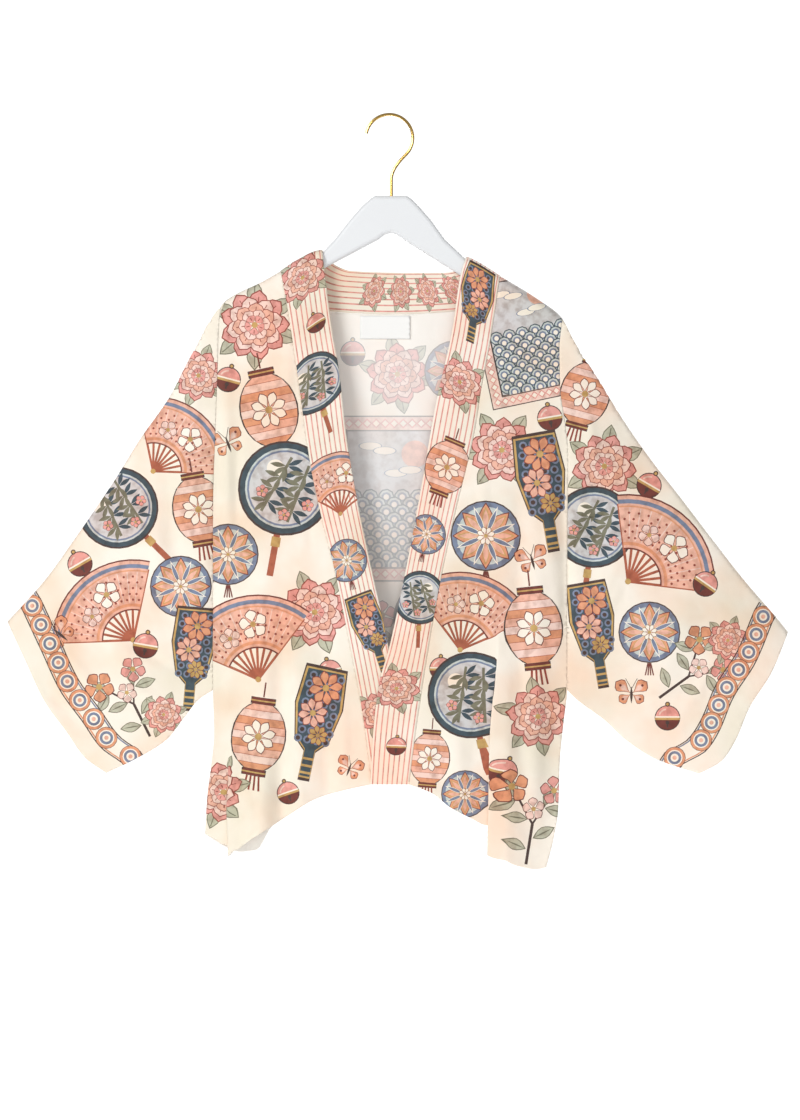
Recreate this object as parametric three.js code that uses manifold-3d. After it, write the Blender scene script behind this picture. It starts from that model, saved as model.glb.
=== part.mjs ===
// Kimono jacket on a flat wooden hanger.
// Millimetres: +X to the viewer's right, +Y to the back, +Z up. Left and right are the viewer's.
// The origin is the point under the top of the hook that bears on whatever holds it up.

import * as THREE from 'three';
import { mergeVertices } from 'three/addons/utils/BufferGeometryUtils.js';
import Module from 'manifold-3d';

// Driving sizes of the cloth
const CLOTH_WALL = 1.2;
const BAND_WALL = 2.4;
const LABEL_WALL = 1.0;
const SEAM_GAP = 0.3;
const ARMHOLE_GAP = 0.3;
const SHOULDER_ROUND = 10;
const SIDE_BLEND = 80;
const SLEEVE_FOLD_ROUND = 4;

// The neck points and the underarms
const NECK_LEFT_X = -137.5;
const NECK_RIGHT_X = 136;
const BAND_TOP_LEFT_X = -86;
const BAND_TOP_RIGHT_X = 94;
const UNDERARM_Z = -717.5;

// How far the right front and its band stand in front of the left one where they lap
const LAP = { lift: 4, startZ: -590, fullZ: -660, fromX: 30, toX: 120 };

// Line of the cloth over the shoulders, from the left armhole to the right one
const SHOULDER = [
  { x: -225, z: -255 },
  { x: -207, z: -231.5 },
  { x: -158, z: -206 },
  { x: NECK_LEFT_X, z: -194 },
  { x: -119, z: -181.5 },
  { x: BAND_TOP_LEFT_X, z: -168 },
  { x: BAND_TOP_RIGHT_X, z: -176.5 },
  { x: 106, z: -181.5 },
  { x: NECK_RIGHT_X, z: -200 },
  { x: 186, z: -231 },
  { x: 214, z: -253 },
  { x: 227, z: -280 },
];

// Armhole seam and side seam of each side, from the shoulder to the hem
const LEFT_SIDE = [
  { z: -231.5, x: -207 },
  { z: -254, x: -214 },
  { z: -327, x: -216.5 },
  { z: -372, x: -218 },
  { z: -492, x: -222 },
  { z: UNDERARM_Z, x: -222.5 },
  { z: -770, x: -221 },
  { z: -805, x: -224 },
  { z: -855, x: -230 },
  { z: -897.5, x: -232.5 },
];
const RIGHT_SIDE = [
  { z: -253, x: 214 },
  { z: -291, x: 210 },
  { z: -341, x: 211 },
  { z: -384, x: 217 },
  { z: -420, x: 220.5 },
  { z: -605, x: 220 },
  { z: UNDERARM_Z, x: 220 },
  { z: -755, x: 216 },
  { z: -805, x: 211 },
  { z: -866, x: 209 },
  { z: -904, x: 203 },
  { z: -939, x: 194 },
];

// Neckband: seam to the front and free edge, from the shoulder to the hem
const BAND_HEM_LEFT = { seam: -23, free: 25, z: -834 };
const BAND_HEM_RIGHT = { seam: 22.5, free: -26, z: -834 };
const BAND_SEAM_LEFT = [
  { z: -194, x: NECK_LEFT_X },
  { z: -250, x: -127.5 },
  { z: -317, x: -117.5 },
  { z: -435, x: -100.5 },
  { z: -491, x: -89 },
  { z: -555, x: -73 },
  { z: -669, x: -49.5 },
  { z: -742, x: -36 },
  { z: BAND_HEM_LEFT.z, x: BAND_HEM_LEFT.seam },
];
const BAND_FREE_LEFT = [
  { z: -168, x: BAND_TOP_LEFT_X },
  { z: -202, x: -82 },
  { z: -264, x: -74 },
  { z: -317, x: -65 },
  { z: -411, x: -54 },
  { z: -491, x: -40 },
  { z: -555, x: -26.5 },
  { z: -665, x: -2.5 },
  { z: -742, x: 12 },
  { z: BAND_HEM_LEFT.z, x: BAND_HEM_LEFT.free },
];
const BAND_SEAM_RIGHT = [
  { z: -200, x: NECK_RIGHT_X },
  { z: -289, x: 122.5 },
  { z: -338, x: 113 },
  { z: -395, x: 104 },
  { z: -496, x: 80 },
  { z: -579, x: 62 },
  { z: -674, x: 45 },
  { z: -774, x: 30 },
  { z: BAND_HEM_RIGHT.z, x: BAND_HEM_RIGHT.seam },
];
const BAND_FREE_RIGHT = [
  { z: -176.5, x: BAND_TOP_RIGHT_X },
  { z: -199, x: 87 },
  { z: -270, x: 76 },
  { z: -360, x: 56 },
  { z: -468, x: 37 },
  { z: -554, x: 21 },
  { z: -665, x: -2.5 },
  { z: -705, x: -14 },
  { z: -768, x: -22 },
  { z: BAND_HEM_RIGHT.z, x: BAND_HEM_RIGHT.free },
];

// Behind the neck: seam to the back panel and free edge
const BACK_NECK_SEAM = [
  { x: NECK_LEFT_X, z: -194 },
  { x: -124, z: -220 },
  { x: -104, z: -237 },
  { x: -75, z: -244 },
  { x: 0, z: -247.5 },
  { x: 78, z: -244 },
  { x: 104, z: -238 },
  { x: 123, z: -223 },
  { x: NECK_RIGHT_X, z: -200 },
];
const BACK_NECK_FREE = [
  { x: BAND_TOP_LEFT_X, z: -168 },
  { x: -69, z: -186 },
  { x: -49, z: -193 },
  { x: 8, z: -195 },
  { x: 65, z: -195 },
  { x: 84, z: -192 },
  { x: BAND_TOP_RIGHT_X, z: -176.5 },
];

// Hems, along the cloth from the left to the right
const HEM_LEFT = [
  { x: -232.5, z: -897.5 },
  { x: -215, z: -907 },
  { x: -203, z: -916 },
  { x: -196, z: -925 },
  { x: -190, z: -916 },
  { x: -177, z: -905 },
  { x: -137, z: -879 },
  { x: -95, z: -853 },
  { x: -56, z: -841 },
  { x: BAND_HEM_LEFT.seam, z: BAND_HEM_LEFT.z },
];
const HEM_RIGHT = [
  { x: BAND_HEM_RIGHT.seam, z: BAND_HEM_RIGHT.z },
  { x: 51, z: -845 },
  { x: 73, z: -862 },
  { x: 106, z: -880 },
  { x: 121, z: -890 },
  { x: 134, z: -921 },
  { x: 157, z: -936 },
  { x: 182, z: -941 },
  { x: 194, z: -939 },
];
const HEM_BACK = [
  { x: -232.5, z: -897.5 },
  { x: -207, z: -914 },
  { x: -188, z: -921 },
  { x: -169, z: -919 },
  { x: -150, z: -890 },
  { x: -110, z: -860 },
  { x: -60, z: -836 },
  { x: 0, z: -827 },
  { x: 60, z: -836 },
  { x: 110, z: -862 },
  { x: 150, z: -902 },
  { x: 176, z: -934 },
  { x: 194, z: -939 },
];

// Sleeves: fold along the top, seam along the bottom, cuff edge
const SLEEVE_LEFT = {
  top: [
    { x: -207, z: -231.5 },
    { x: -225, z: -255.5 },
    { x: -252, z: -305 },
    { x: -279, z: -355 },
    { x: -314, z: -405 },
    { x: -345, z: -455 },
    { x: -396, z: -530 },
    { x: -432, z: -580 },
    { x: -454, z: -605 },
    { x: -479, z: -632 },
  ],
  bottom: [
    { x: -222.5, z: UNDERARM_Z },
    { x: -241, z: -730 },
    { x: -260, z: -754 },
    { x: -281, z: -780 },
    { x: -320, z: -804 },
    { x: -356, z: -821 },
  ],
  cuff: [
    { z: -632, x: -479 },
    { z: -680, x: -456 },
    { z: -731, x: -432 },
    { z: -769, x: -405 },
    { z: -802, x: -382 },
    { z: -821, x: -356 },
  ],
};
const SLEEVE_RIGHT = {
  top: [
    { x: 214, z: -253 },
    { x: 227, z: -280 },
    { x: 259, z: -330 },
    { x: 290, z: -380 },
    { x: 325, z: -430 },
    { x: 364, z: -480 },
    { x: 402, z: -530 },
    { x: 441, z: -580 },
    { x: 484, z: -630 },
    { x: 496, z: -645 },
  ],
  bottom: [
    { x: 220, z: UNDERARM_Z },
    { x: 233, z: -730 },
    { x: 267, z: -755 },
    { x: 294, z: -780 },
    { x: 332, z: -804 },
    { x: 385, z: -822 },
  ],
  cuff: [
    { z: -645, x: 496 },
    { z: -696, x: 474 },
    { z: -739, x: 447 },
    { z: -780, x: 430 },
    { z: -806, x: 413 },
    { z: -822, x: 385 },
  ],
};

// Half depth of the hanging body at its middle and along its side seams
const MIDDLE_DEPTH = [
  { z: -168, deep: 9 },
  { z: -250, deep: 10.5 },
  { z: -350, deep: 14 },
  { z: -500, deep: 17 },
  { z: -650, deep: 18 },
  { z: -800, deep: 17 },
  { z: -950, deep: 16 },
];
const SIDE_DEPTH = [
  { z: -231, deep: 8.5 },
  { z: -300, deep: 9.5 },
  { z: -450, deep: 11.5 },
  { z: -600, deep: 10 },
  { z: -680, deep: 5 },
  { z: UNDERARM_Z, deep: 0.6 },
  { z: -950, deep: 0.6 },
];
const SLEEVE_DEPTH = [
  { along: 0, deep: 10 },
  { along: 0.35, deep: 10 },
  { along: 0.7, deep: 9 },
  { along: 1, deep: 10 },
];
const SLEEVE_LEAST_DEPTH = { top: 3, bottom: 0.75 };
const SLEEVE_FULLNESS = 0.8;
const ARMHOLE_BLEND = 0.35;

// Loose folds lapped over themselves at the hem: line of the fold, lap and rise of its layers
const FOLD_LEFT = {
  line: [{ z: -225, x: -190 }, { z: -720, x: -204 }, { z: -805, x: -203 }, { z: -925, x: -199 }],
  column: 0.19, half: 0.05, lap: 8.5, rise: 7, startZ: -760, fullZ: -880, spread: 90,
};
const FOLD_RIGHT = {
  line: [{ z: -225, x: 176 }, { z: -600, x: 134 }, { z: -760, x: 131 }, { z: -925, x: 128 }],
  column: 0.46, half: 0.09, lap: 15, rise: 8, startZ: -600, fullZ: -790, spread: 90,
};

// Soft folds: start and end of each, its half width, its height (below 0 a trough) and the share
// of its length at which it is full
const FRONT_FOLDS = [
  { x0: -190, z0: -500, x1: -186, z1: -930, wide: 11, high: -4, full: 1 },
  { x0: -165, z0: -420, x1: -160, z1: -920, wide: 13, high: 4, full: 1 },
  { x0: -140, z0: -470, x1: -136, z1: -900, wide: 11, high: -4, full: 1 },
  { x0: -118, z0: -560, x1: -112, z1: -880, wide: 12, high: 3.5, full: 1 },
  { x0: -92, z0: -520, x1: -78, z1: -860, wide: 11, high: -3.5, full: 1 },
  { x0: 80, z0: -620, x1: 84, z1: -880, wide: 15, high: 3.5, full: 1 },
  { x0: 158, z0: -330, x1: 160, z1: -930, wide: 12, high: -4, full: 0.7 },
  { x0: 186, z0: -360, x1: 184, z1: -930, wide: 12, high: 3.5, full: 0.8 },
  { x0: -228, z0: -660, x1: -330, z1: -470, wide: 14, high: 3, full: 0.3 },
  { x0: -262, z0: -640, x1: -282, z1: -400, wide: 14, high: -3.5, full: 0.5 },
  { x0: -300, z0: -760, x1: -380, z1: -560, wide: 18, high: 3, full: 0.5 },
  { x0: 228, z0: -650, x1: 330, z1: -480, wide: 14, high: 3, full: 0.3 },
  { x0: 252, z0: -600, x1: 262, z1: -400, wide: 14, high: -3.5, full: 0.5 },
  { x0: 310, z0: -770, x1: 390, z1: -570, wide: 18, high: 3, full: 0.5 },
];
const BACK_FOLDS = [
  { x0: -176, z0: -430, x1: -178, z1: -930, wide: 13, high: 4, full: 1 },
  { x0: -140, z0: -380, x1: -136, z1: -900, wide: 14, high: -4, full: 0.8 },
  { x0: -90, z0: -520, x1: -84, z1: -860, wide: 16, high: 4, full: 1 },
  { x0: -10, z0: -330, x1: -4, z1: -850, wide: 20, high: -4, full: 0.6 },
  { x0: 76, z0: -480, x1: 82, z1: -860, wide: 16, high: 4, full: 1 },
  { x0: 126, z0: -420, x1: 130, z1: -900, wide: 14, high: -4, full: 0.8 },
  { x0: 172, z0: -450, x1: 170, z1: -940, wide: 13, high: 4, full: 1 },
  { x0: -230, z0: -660, x1: -340, z1: -500, wide: 15, high: 3, full: 0.3 },
  { x0: -270, z0: -720, x1: -300, z1: -430, wide: 16, high: -3.5, full: 0.5 },
  { x0: 230, z0: -660, x1: 340, z1: -510, wide: 15, high: 3, full: 0.3 },
  { x0: 266, z0: -710, x1: 290, z1: -420, wide: 16, high: -3.5, full: 0.5 },
];
const FOLD_NEEDS_DEPTH = 8;

// Label sewn under the back neckband, inside
const LABEL = { left: -39, right: 24, top: -249, bottom: -278 };

// Hanger board and wire hook
const HANGER_THICK = 11;
const HANGER_BEVEL = 4.5;
const HANGER_BELOW_CLOTH = 2.2;
const HANGER_LEFT_TIP_X = -203;
const HANGER_RIGHT_TIP_X = 202;
const HEAD_TOP_Z = -100;
const WIRE_RADIUS = 2;
const HOOK_CENTRE = { x: -2, z: -27.4 };
const HOOK_RADIUS = 29.4;
const HOOK_TIP_ANGLE = 170;
const HOOK_FOOT_ANGLE = -39;
const STEM_X = 0.5;
const STEM_HOLE_DEPTH = 26;
const STEM_BEND = [
  { x: STEM_X, z: -84 },
  { x: 0.7, z: -76 },
  { x: 3.5, z: -67.5 },
  { x: 11, z: -56.5 },
];

// Outline of the board: its head, the undersides of its arms from the tips in, and the places
// along the arms where its top follows the cloth
const HEAD_RIGHT = [
  { x: 20, z: HEAD_TOP_Z },
  { x: 26, z: -104 },
  { x: 35, z: -113 },
  { x: 50, z: -130 },
  { x: 68, z: -155 },
  { x: 82, z: -168 },
];
const HEAD_LEFT = [
  { x: -70, z: -154.5 },
  { x: -51, z: -130 },
  { x: -36, z: -113 },
  { x: -26, z: -104 },
  { x: -20, z: HEAD_TOP_Z },
];
const ARM_TOP_RIGHT = [93, 100, 109, 118, 127, 136, 145, 155, 167, 180, 190];
const ARM_TOP_LEFT = [-196, -180, -167, -155, -145, -136, -127, -118, -109, -100, -85];
const UNDERSIDE_RIGHT = [
  { x: HANGER_RIGHT_TIP_X - 3, z: -245 },
  { x: HANGER_RIGHT_TIP_X, z: -254 },
  { x: 196, z: -261 },
  { x: 186, z: -261 },
  { x: 160, z: -244 },
  { x: 120, z: -219 },
  { x: 86, z: -199 },
  { x: 16, z: -155 },
  { x: 8, z: -148.5 },
  { x: 0, z: -146 },
];
const UNDERSIDE_LEFT = [
  { x: -8, z: -148.5 },
  { x: -16.5, z: -155 },
  { x: -75, z: -186 },
  { x: -110, z: -205 },
  { x: -150, z: -226 },
  { x: -182, z: -247 },
  { x: -194, z: -251 },
  { x: HANGER_LEFT_TIP_X, z: -245 },
  { x: HANGER_LEFT_TIP_X + 1, z: -236 },
];

// Colours and surfaces
const PRINTED_CREPE = { color: '#f4dcc8', roughness: 0.75, metalness: 0 };
const STRIPED_CREPE = { color: '#f3d3c6', roughness: 0.75, metalness: 0 };
const WOVEN_TAPE = { color: '#f6f5f2', roughness: 0.7, metalness: 0 };
const WHITE_PAINT = { color: '#ebedf0', roughness: 0.4, metalness: 0 };
const GOLD_WIRE = { color: '#c9a24d', roughness: 0.25, metalness: 1 };

// Rows down the armhole, close over the rounded shoulder, then down the side seam
const ARMHOLE_STEPS = [
  0, 0.0015, 0.006, 0.013, 0.0206, 0.05, 0.11, 0.18, 0.26, 0.35,
  0.44, 0.53, 0.62, 0.71, 0.79, 0.86, 0.92, 0.965, 1,
];
const ARMHOLE_SHARE = 0.72;
const SIDE_SEAM_STEPS = [0.16, 0.33, 0.5, 0.67, 0.84, 1];
const BODY_ROWS = [
  ...ARMHOLE_STEPS.map((step) => step * ARMHOLE_SHARE),
  ...SIDE_SEAM_STEPS.map((step) => ARMHOLE_SHARE + step * (1 - ARMHOLE_SHARE)),
];
const SLEEVE_SECTIONS = 11;
const SHOULDER_COLUMNS = 4;
const BAND_COLUMNS = 4;
const NECK_STEPS = [0, 0.001, 0.003, 0.008, 0.018, 0.036, 0.075, 0.15, 0.25, 0.37];

// Columns of a front: how wide the plain ones are, and where they stand across a lapped fold
const FRONT_COLUMN = 0.09;
const COLUMNS_IN_FOLD = [-1, -0.75, -0.5, -0.3, 0, 0.3, 0.5, 0.75, 1];

const LABEL_COLUMNS = 6;
const LABEL_ROWS = 3;
const HANGER_BEVEL_STEPS = 3;
const STEM_HOLE_SIDES = 16;
const HOOK_ARC_STEPS = 22;
const HOOK_SECTIONS = 44;
const WIRE_SIDES = 10;

// A short step along a surface, to find which way it faces, and how near points are one point
const STEP = 1e-4;
const SAME_POINT = 1e-4;

function clamp(value) {
  return Math.min(1, Math.max(0, value));
}

function mix(a, b, share) {
  return a + (b - a) * share;
}

function smooth(value) {
  const t = clamp(value);
  return t * t * (3 - 2 * t);
}

// A smooth curve through the rows of a table that never swings past them
function track(rows, from, to) {
  const list = [...rows].sort((a, b) => a[from] - b[from]);
  const last = list.length - 1;
  const rises = [];
  for (let i = 0; i < last; i += 1) {
    rises.push((list[i + 1][to] - list[i][to]) / (list[i + 1][from] - list[i][from]));
  }
  const slopes = list.map((row, i) => {
    if (i === 0) return rises[0];
    if (i === last) return rises[last - 1];
    const product = rises[i - 1] * rises[i];
    return product <= 0 ? 0 : (2 * product) / (rises[i - 1] + rises[i]);
  });
  return (place) => {
    const at = Math.min(list[last][from], Math.max(list[0][from], place));
    let i = 0;
    while (i < last - 1 && at > list[i + 1][from]) i += 1;
    const span = list[i + 1][from] - list[i][from];
    const t = (at - list[i][from]) / span;
    const t2 = t * t;
    const t3 = t2 * t;
    return (
      list[i][to] * (2 * t3 - 3 * t2 + 1) +
      slopes[i] * span * (t3 - 2 * t2 + t) +
      list[i + 1][to] * (3 * t2 - 2 * t3) +
      slopes[i + 1] * span * (t3 - t2)
    );
  };
}

const shoulder = track(SHOULDER, 'x', 'z');
const leftSide = track(LEFT_SIDE, 'z', 'x');
const rightSide = track(RIGHT_SIDE, 'z', 'x');
const backNeckSeam = track(BACK_NECK_SEAM, 'x', 'z');
const middleDepth = track(MIDDLE_DEPTH, 'z', 'deep');
const sideDepth = track(SIDE_DEPTH, 'z', 'deep');
const sleeveDepth = track(SLEEVE_DEPTH, 'along', 'deep');

// Share of the full depth at a distance inside a rounded fold
function rounded(distance, radius) {
  const t = clamp(distance / radius);
  return Math.sqrt(1 - (1 - t) * (1 - t));
}

// Half depth of the body at a place seen from the front
function bodyDepth(x, z) {
  const inward = x < 0 ? x - leftSide(z) : rightSide(z) - x;
  const flat = mix(sideDepth(z), middleDepth(z), smooth(inward / SIDE_BLEND));
  return flat * rounded(shoulder(x) - z, SHOULDER_ROUND);
}

// Height of the soft folds at a place
function foldHeight(folds, x, z) {
  let sum = 0;
  for (const fold of folds) {
    const runX = fold.x1 - fold.x0;
    const runZ = fold.z1 - fold.z0;
    const length2 = runX * runX + runZ * runZ;
    const t = clamp(((x - fold.x0) * runX + (z - fold.z0) * runZ) / length2);
    const away = Math.hypot(x - fold.x0 - t * runX, z - fold.z0 - t * runZ) / fold.wide;
    const strength = t <= fold.full ? smooth(t / fold.full) : smooth((1 - t) / (1 - fold.full));
    sum += fold.high * strength * Math.exp(-away * away);
  }
  return sum;
}

function withFolds(depth, folds, x, z) {
  return depth + foldHeight(folds, x, z) * clamp(depth / FOLD_NEEDS_DEPTH);
}

function frontY(x, z) {
  return -SEAM_GAP / 2 - withFolds(bodyDepth(x, z), FRONT_FOLDS, x, z);
}

function backY(x, z) {
  return SEAM_GAP / 2 + withFolds(bodyDepth(x, z), BACK_FOLDS, x, z);
}

function lapLift(x, z) {
  const down = smooth((LAP.startZ - z) / (LAP.startZ - LAP.fullZ));
  return LAP.lift * down * (1 - smooth((x - LAP.fromX) / (LAP.toX - LAP.fromX)));
}

// A place between four edges: first and last run down, top and bottom run across
function between(edges, across, down) {
  const first = edges.first(down);
  const last = edges.last(down);
  const top = edges.top(across);
  const bottom = edges.bottom(across);
  const corners = [edges.first(0), edges.last(0), edges.first(1), edges.last(1)];
  const place = {};
  for (const key of ['x', 'z']) {
    place[key] =
      mix(first[key], last[key], across) +
      mix(top[key], bottom[key], down) -
      mix(
        mix(corners[0][key], corners[1][key], across),
        mix(corners[2][key], corners[3][key], across),
        down,
      );
  }
  return place;
}

// A side edge of the body, armhole rows first, moved in by half the seam gap
function sideEdge(rows, side, inward) {
  const top = rows[0].z;
  const bottom = rows[rows.length - 1].z;
  return (down) => {
    const z =
      down < ARMHOLE_SHARE
        ? mix(top, UNDERARM_Z, down / ARMHOLE_SHARE)
        : mix(UNDERARM_Z, bottom, (down - ARMHOLE_SHARE) / (1 - ARMHOLE_SHARE));
    return { x: side(z) + inward, z };
  };
}

function downEdge(rows, shift) {
  const line = track(rows, 'z', 'x');
  return (down) => {
    const z = mix(rows[0].z, rows[rows.length - 1].z, down);
    return { x: line(z) + shift, z };
  };
}

function acrossEdge(fromX, toX, height) {
  return (across) => {
    const x = mix(fromX, toX, across);
    return { x, z: height(x) };
  };
}

// A closed wall of even thickness on a surface that is given by a point function. In a ring the
// columns run all round and each holds its own place. At an edge that square names, the wall is
// cut straight along the seam, as its neighbour is.
function clothWall(point, columns, rows, wall, square = {}, ring = false) {
  const wide = columns.length;
  const tall = rows.length;
  const positions = [];
  const middle = rows.map((row) => columns.map((column) => point(column, row)));
  for (const side of [0.5, -0.5]) {
    for (let j = 0; j < tall; j += 1) {
      for (let i = 0; i < wide; i += 1) {
        const across = ring
          ? middle[j][(i + 1) % wide].clone().sub(middle[j][(i + wide - 1) % wide])
          : point(Math.min(1, columns[i] + STEP), rows[j])
              .sub(point(Math.max(0, columns[i] - STEP), rows[j]));
        const down = point(columns[i], Math.min(1, rows[j] + STEP))
          .sub(point(columns[i], Math.max(0, rows[j] - STEP)));
        const out = across.cross(down);
        const atSeam =
          (square.firstColumn && i === 0) ||
          (square.lastColumn && i === wide - 1) ||
          (square.firstRow && j === 0);
        if (atSeam) out.x = 0;
        out.normalize().multiplyScalar(side * wall);
        positions.push(...middle[j][i].clone().add(out).toArray());
      }
    }
  }
  const index = [];
  const sheet = wide * tall;
  const spans = ring ? wide : wide - 1;
  const quad = (a, b, c, d) => index.push(a, b, c, a, c, d);
  for (let i = 0; i < spans; i += 1) {
    const next = (i + 1) % wide;
    for (let j = 0; j < tall - 1; j += 1) {
      const here = j * wide;
      const below = here + wide;
      quad(here + i, here + next, below + next, below + i);
      quad(sheet + here + i, sheet + below + i, sheet + below + next, sheet + here + next);
    }
    const end = sheet - wide;
    quad(i, sheet + i, sheet + next, next);
    quad(end + i, end + next, sheet + end + next, sheet + end + i);
  }
  if (!ring) {
    for (let j = 0; j < tall - 1; j += 1) {
      const here = j * wide;
      const below = here + wide;
      const edge = wide - 1;
      quad(here, below, sheet + below, sheet + here);
      quad(here + edge, sheet + here + edge, sheet + below + edge, below + edge);
    }
  }
  const geometry = new THREE.BufferGeometry();
  geometry.setAttribute('position', new THREE.Float32BufferAttribute(positions, 3));
  geometry.setIndex(index);
  if (volumeOf(geometry) < 0) {
    for (let i = 0; i < index.length; i += 3) {
      [index[i], index[i + 1]] = [index[i + 1], index[i]];
    }
    geometry.setIndex(index);
  }
  geometry.computeVertexNormals();
  return geometry;
}

function volumeOf(geometry) {
  const place = geometry.getAttribute('position');
  const index = geometry.getIndex();
  const corners = [new THREE.Vector3(), new THREE.Vector3(), new THREE.Vector3()];
  let sum = 0;
  for (let i = 0; i < index.count; i += 3) {
    corners.forEach((corner, k) => corner.fromBufferAttribute(place, index.getX(i + k)));
    sum += corners[0].dot(corners[1].clone().cross(corners[2])) / 6;
  }
  return sum;
}

function even(count) {
  return Array.from({ length: count + 1 }, (_, i) => i / count);
}

// Columns of a front, close together across its lapped fold
function foldColumns(fold) {
  const start = fold.column - fold.half;
  const end = fold.column + fold.half;
  const before = Math.max(1, Math.round(start / FRONT_COLUMN));
  const after = Math.max(1, Math.round((1 - end) / FRONT_COLUMN));
  return [
    ...even(before).slice(0, -1).map((t) => t * start),
    ...COLUMNS_IN_FOLD.map((t) => fold.column + t * fold.half),
    ...even(after).slice(1).map((t) => mix(end, 1, t)),
  ];
}

// A front panel. Its columns run from the side seam to the neckband. Across the lapped fold the
// cloth runs back under itself in an S, and what lies to the right of the fold lies in front.
function frontPoint(edges, fold, lift) {
  const line = track(fold.line, 'z', 'x');
  return (column, down) => {
    const first = edges.first(down);
    const last = edges.last(down);
    const foldX = line(mix(first.z, last.z, fold.column));
    const share = (foldX - first.x) / (last.x - first.x);
    const across =
      column < fold.column
        ? (column * share) / fold.column
        : 1 - ((1 - column) * (1 - share)) / (1 - fold.column);
    const place = between(edges, across, down);
    const strength = smooth((fold.startZ - place.z) / (fold.startZ - fold.fullZ));
    const turn = last.x > first.x ? 1 : -1;
    const phase = Math.max(-1, Math.min(1, (turn * (column - fold.column)) / fold.half));
    const x = place.x - strength * fold.lap * Math.sin(Math.PI * phase);
    const past = Math.max(0, place.x - foldX);
    const fade = 1 - smooth(past / fold.spread);
    const rise = strength * fold.rise * ((phase + 1) / 2) * fade;
    const y = frontY(place.x, place.z) - rise - (lift ? lapLift(place.x, place.z) : 0);
    return new THREE.Vector3(x, y, place.z);
  };
}

function frontLeft() {
  const gap = SEAM_GAP / 2;
  const edges = {
    first: sideEdge(LEFT_SIDE, leftSide, gap),
    last: downEdge(BAND_SEAM_LEFT, -gap),
    top: acrossEdge(LEFT_SIDE[0].x + gap, NECK_LEFT_X - gap, shoulder),
    bottom: acrossEdge(HEM_LEFT[0].x + gap, BAND_HEM_LEFT.seam - gap, track(HEM_LEFT, 'x', 'z')),
  };
  const point = frontPoint(edges, FOLD_LEFT, false);
  return clothWall(point, foldColumns(FOLD_LEFT), BODY_ROWS, CLOTH_WALL, { firstColumn: true });
}

function frontRight() {
  const gap = SEAM_GAP / 2;
  const hemSide = RIGHT_SIDE[RIGHT_SIDE.length - 1].x;
  const edges = {
    first: sideEdge(RIGHT_SIDE, rightSide, -gap),
    last: downEdge(BAND_SEAM_RIGHT, gap),
    top: acrossEdge(RIGHT_SIDE[0].x - gap, NECK_RIGHT_X + gap, shoulder),
    bottom: acrossEdge(hemSide - gap, BAND_HEM_RIGHT.seam + gap, track(HEM_RIGHT, 'x', 'z')),
  };
  const point = frontPoint(edges, FOLD_RIGHT, true);
  return clothWall(point, foldColumns(FOLD_RIGHT), BODY_ROWS, CLOTH_WALL, { firstColumn: true });
}

// Top edge of the back: left shoulder, scooped neck, right shoulder
function backTop(x) {
  return x <= NECK_LEFT_X || x >= NECK_RIGHT_X ? shoulder(x) : backNeckSeam(x);
}

// Steps across the neck, close together at its two ends
function neckSteps() {
  return [...NECK_STEPS, 0.5, ...NECK_STEPS.map((step) => 1 - step).reverse()];
}

function back() {
  const gap = SEAM_GAP / 2;
  const fromX = LEFT_SIDE[0].x + gap;
  const toX = RIGHT_SIDE[0].x - gap;
  const share = (x) => (x - fromX) / (toX - fromX);
  const ends = even(SHOULDER_COLUMNS).slice(0, -1);
  const columns = [
    ...ends.map((t) => t * share(NECK_LEFT_X)),
    ...neckSteps().map((t) => share(mix(NECK_LEFT_X, NECK_RIGHT_X, t))),
    ...ends.map((t) => mix(1, share(NECK_RIGHT_X), t)).reverse(),
  ];
  const edges = {
    first: sideEdge(LEFT_SIDE, leftSide, gap),
    last: sideEdge(RIGHT_SIDE, rightSide, -gap),
    top: acrossEdge(fromX, toX, backTop),
    bottom: acrossEdge(
      HEM_BACK[0].x + gap,
      HEM_BACK[HEM_BACK.length - 1].x - gap,
      track(HEM_BACK, 'x', 'z'),
    ),
  };
  const point = (column, down) => {
    const place = between(edges, column, down);
    return new THREE.Vector3(place.x, backY(place.x, place.z), place.z);
  };
  return clothWall(point, columns, BODY_ROWS, CLOTH_WALL, { firstColumn: true, lastColumn: true });
}

// An edge of a sleeve from the armhole to the cuff, moved out by its share of the armhole's gap
function sleeveEdge(rows, shift) {
  const line = track(rows, 'x', 'z');
  return (along) => {
    const x = mix(rows[0].x, rows[rows.length - 1].x, along);
    return { x: x + shift * (1 - along), z: line(x) };
  };
}

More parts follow.
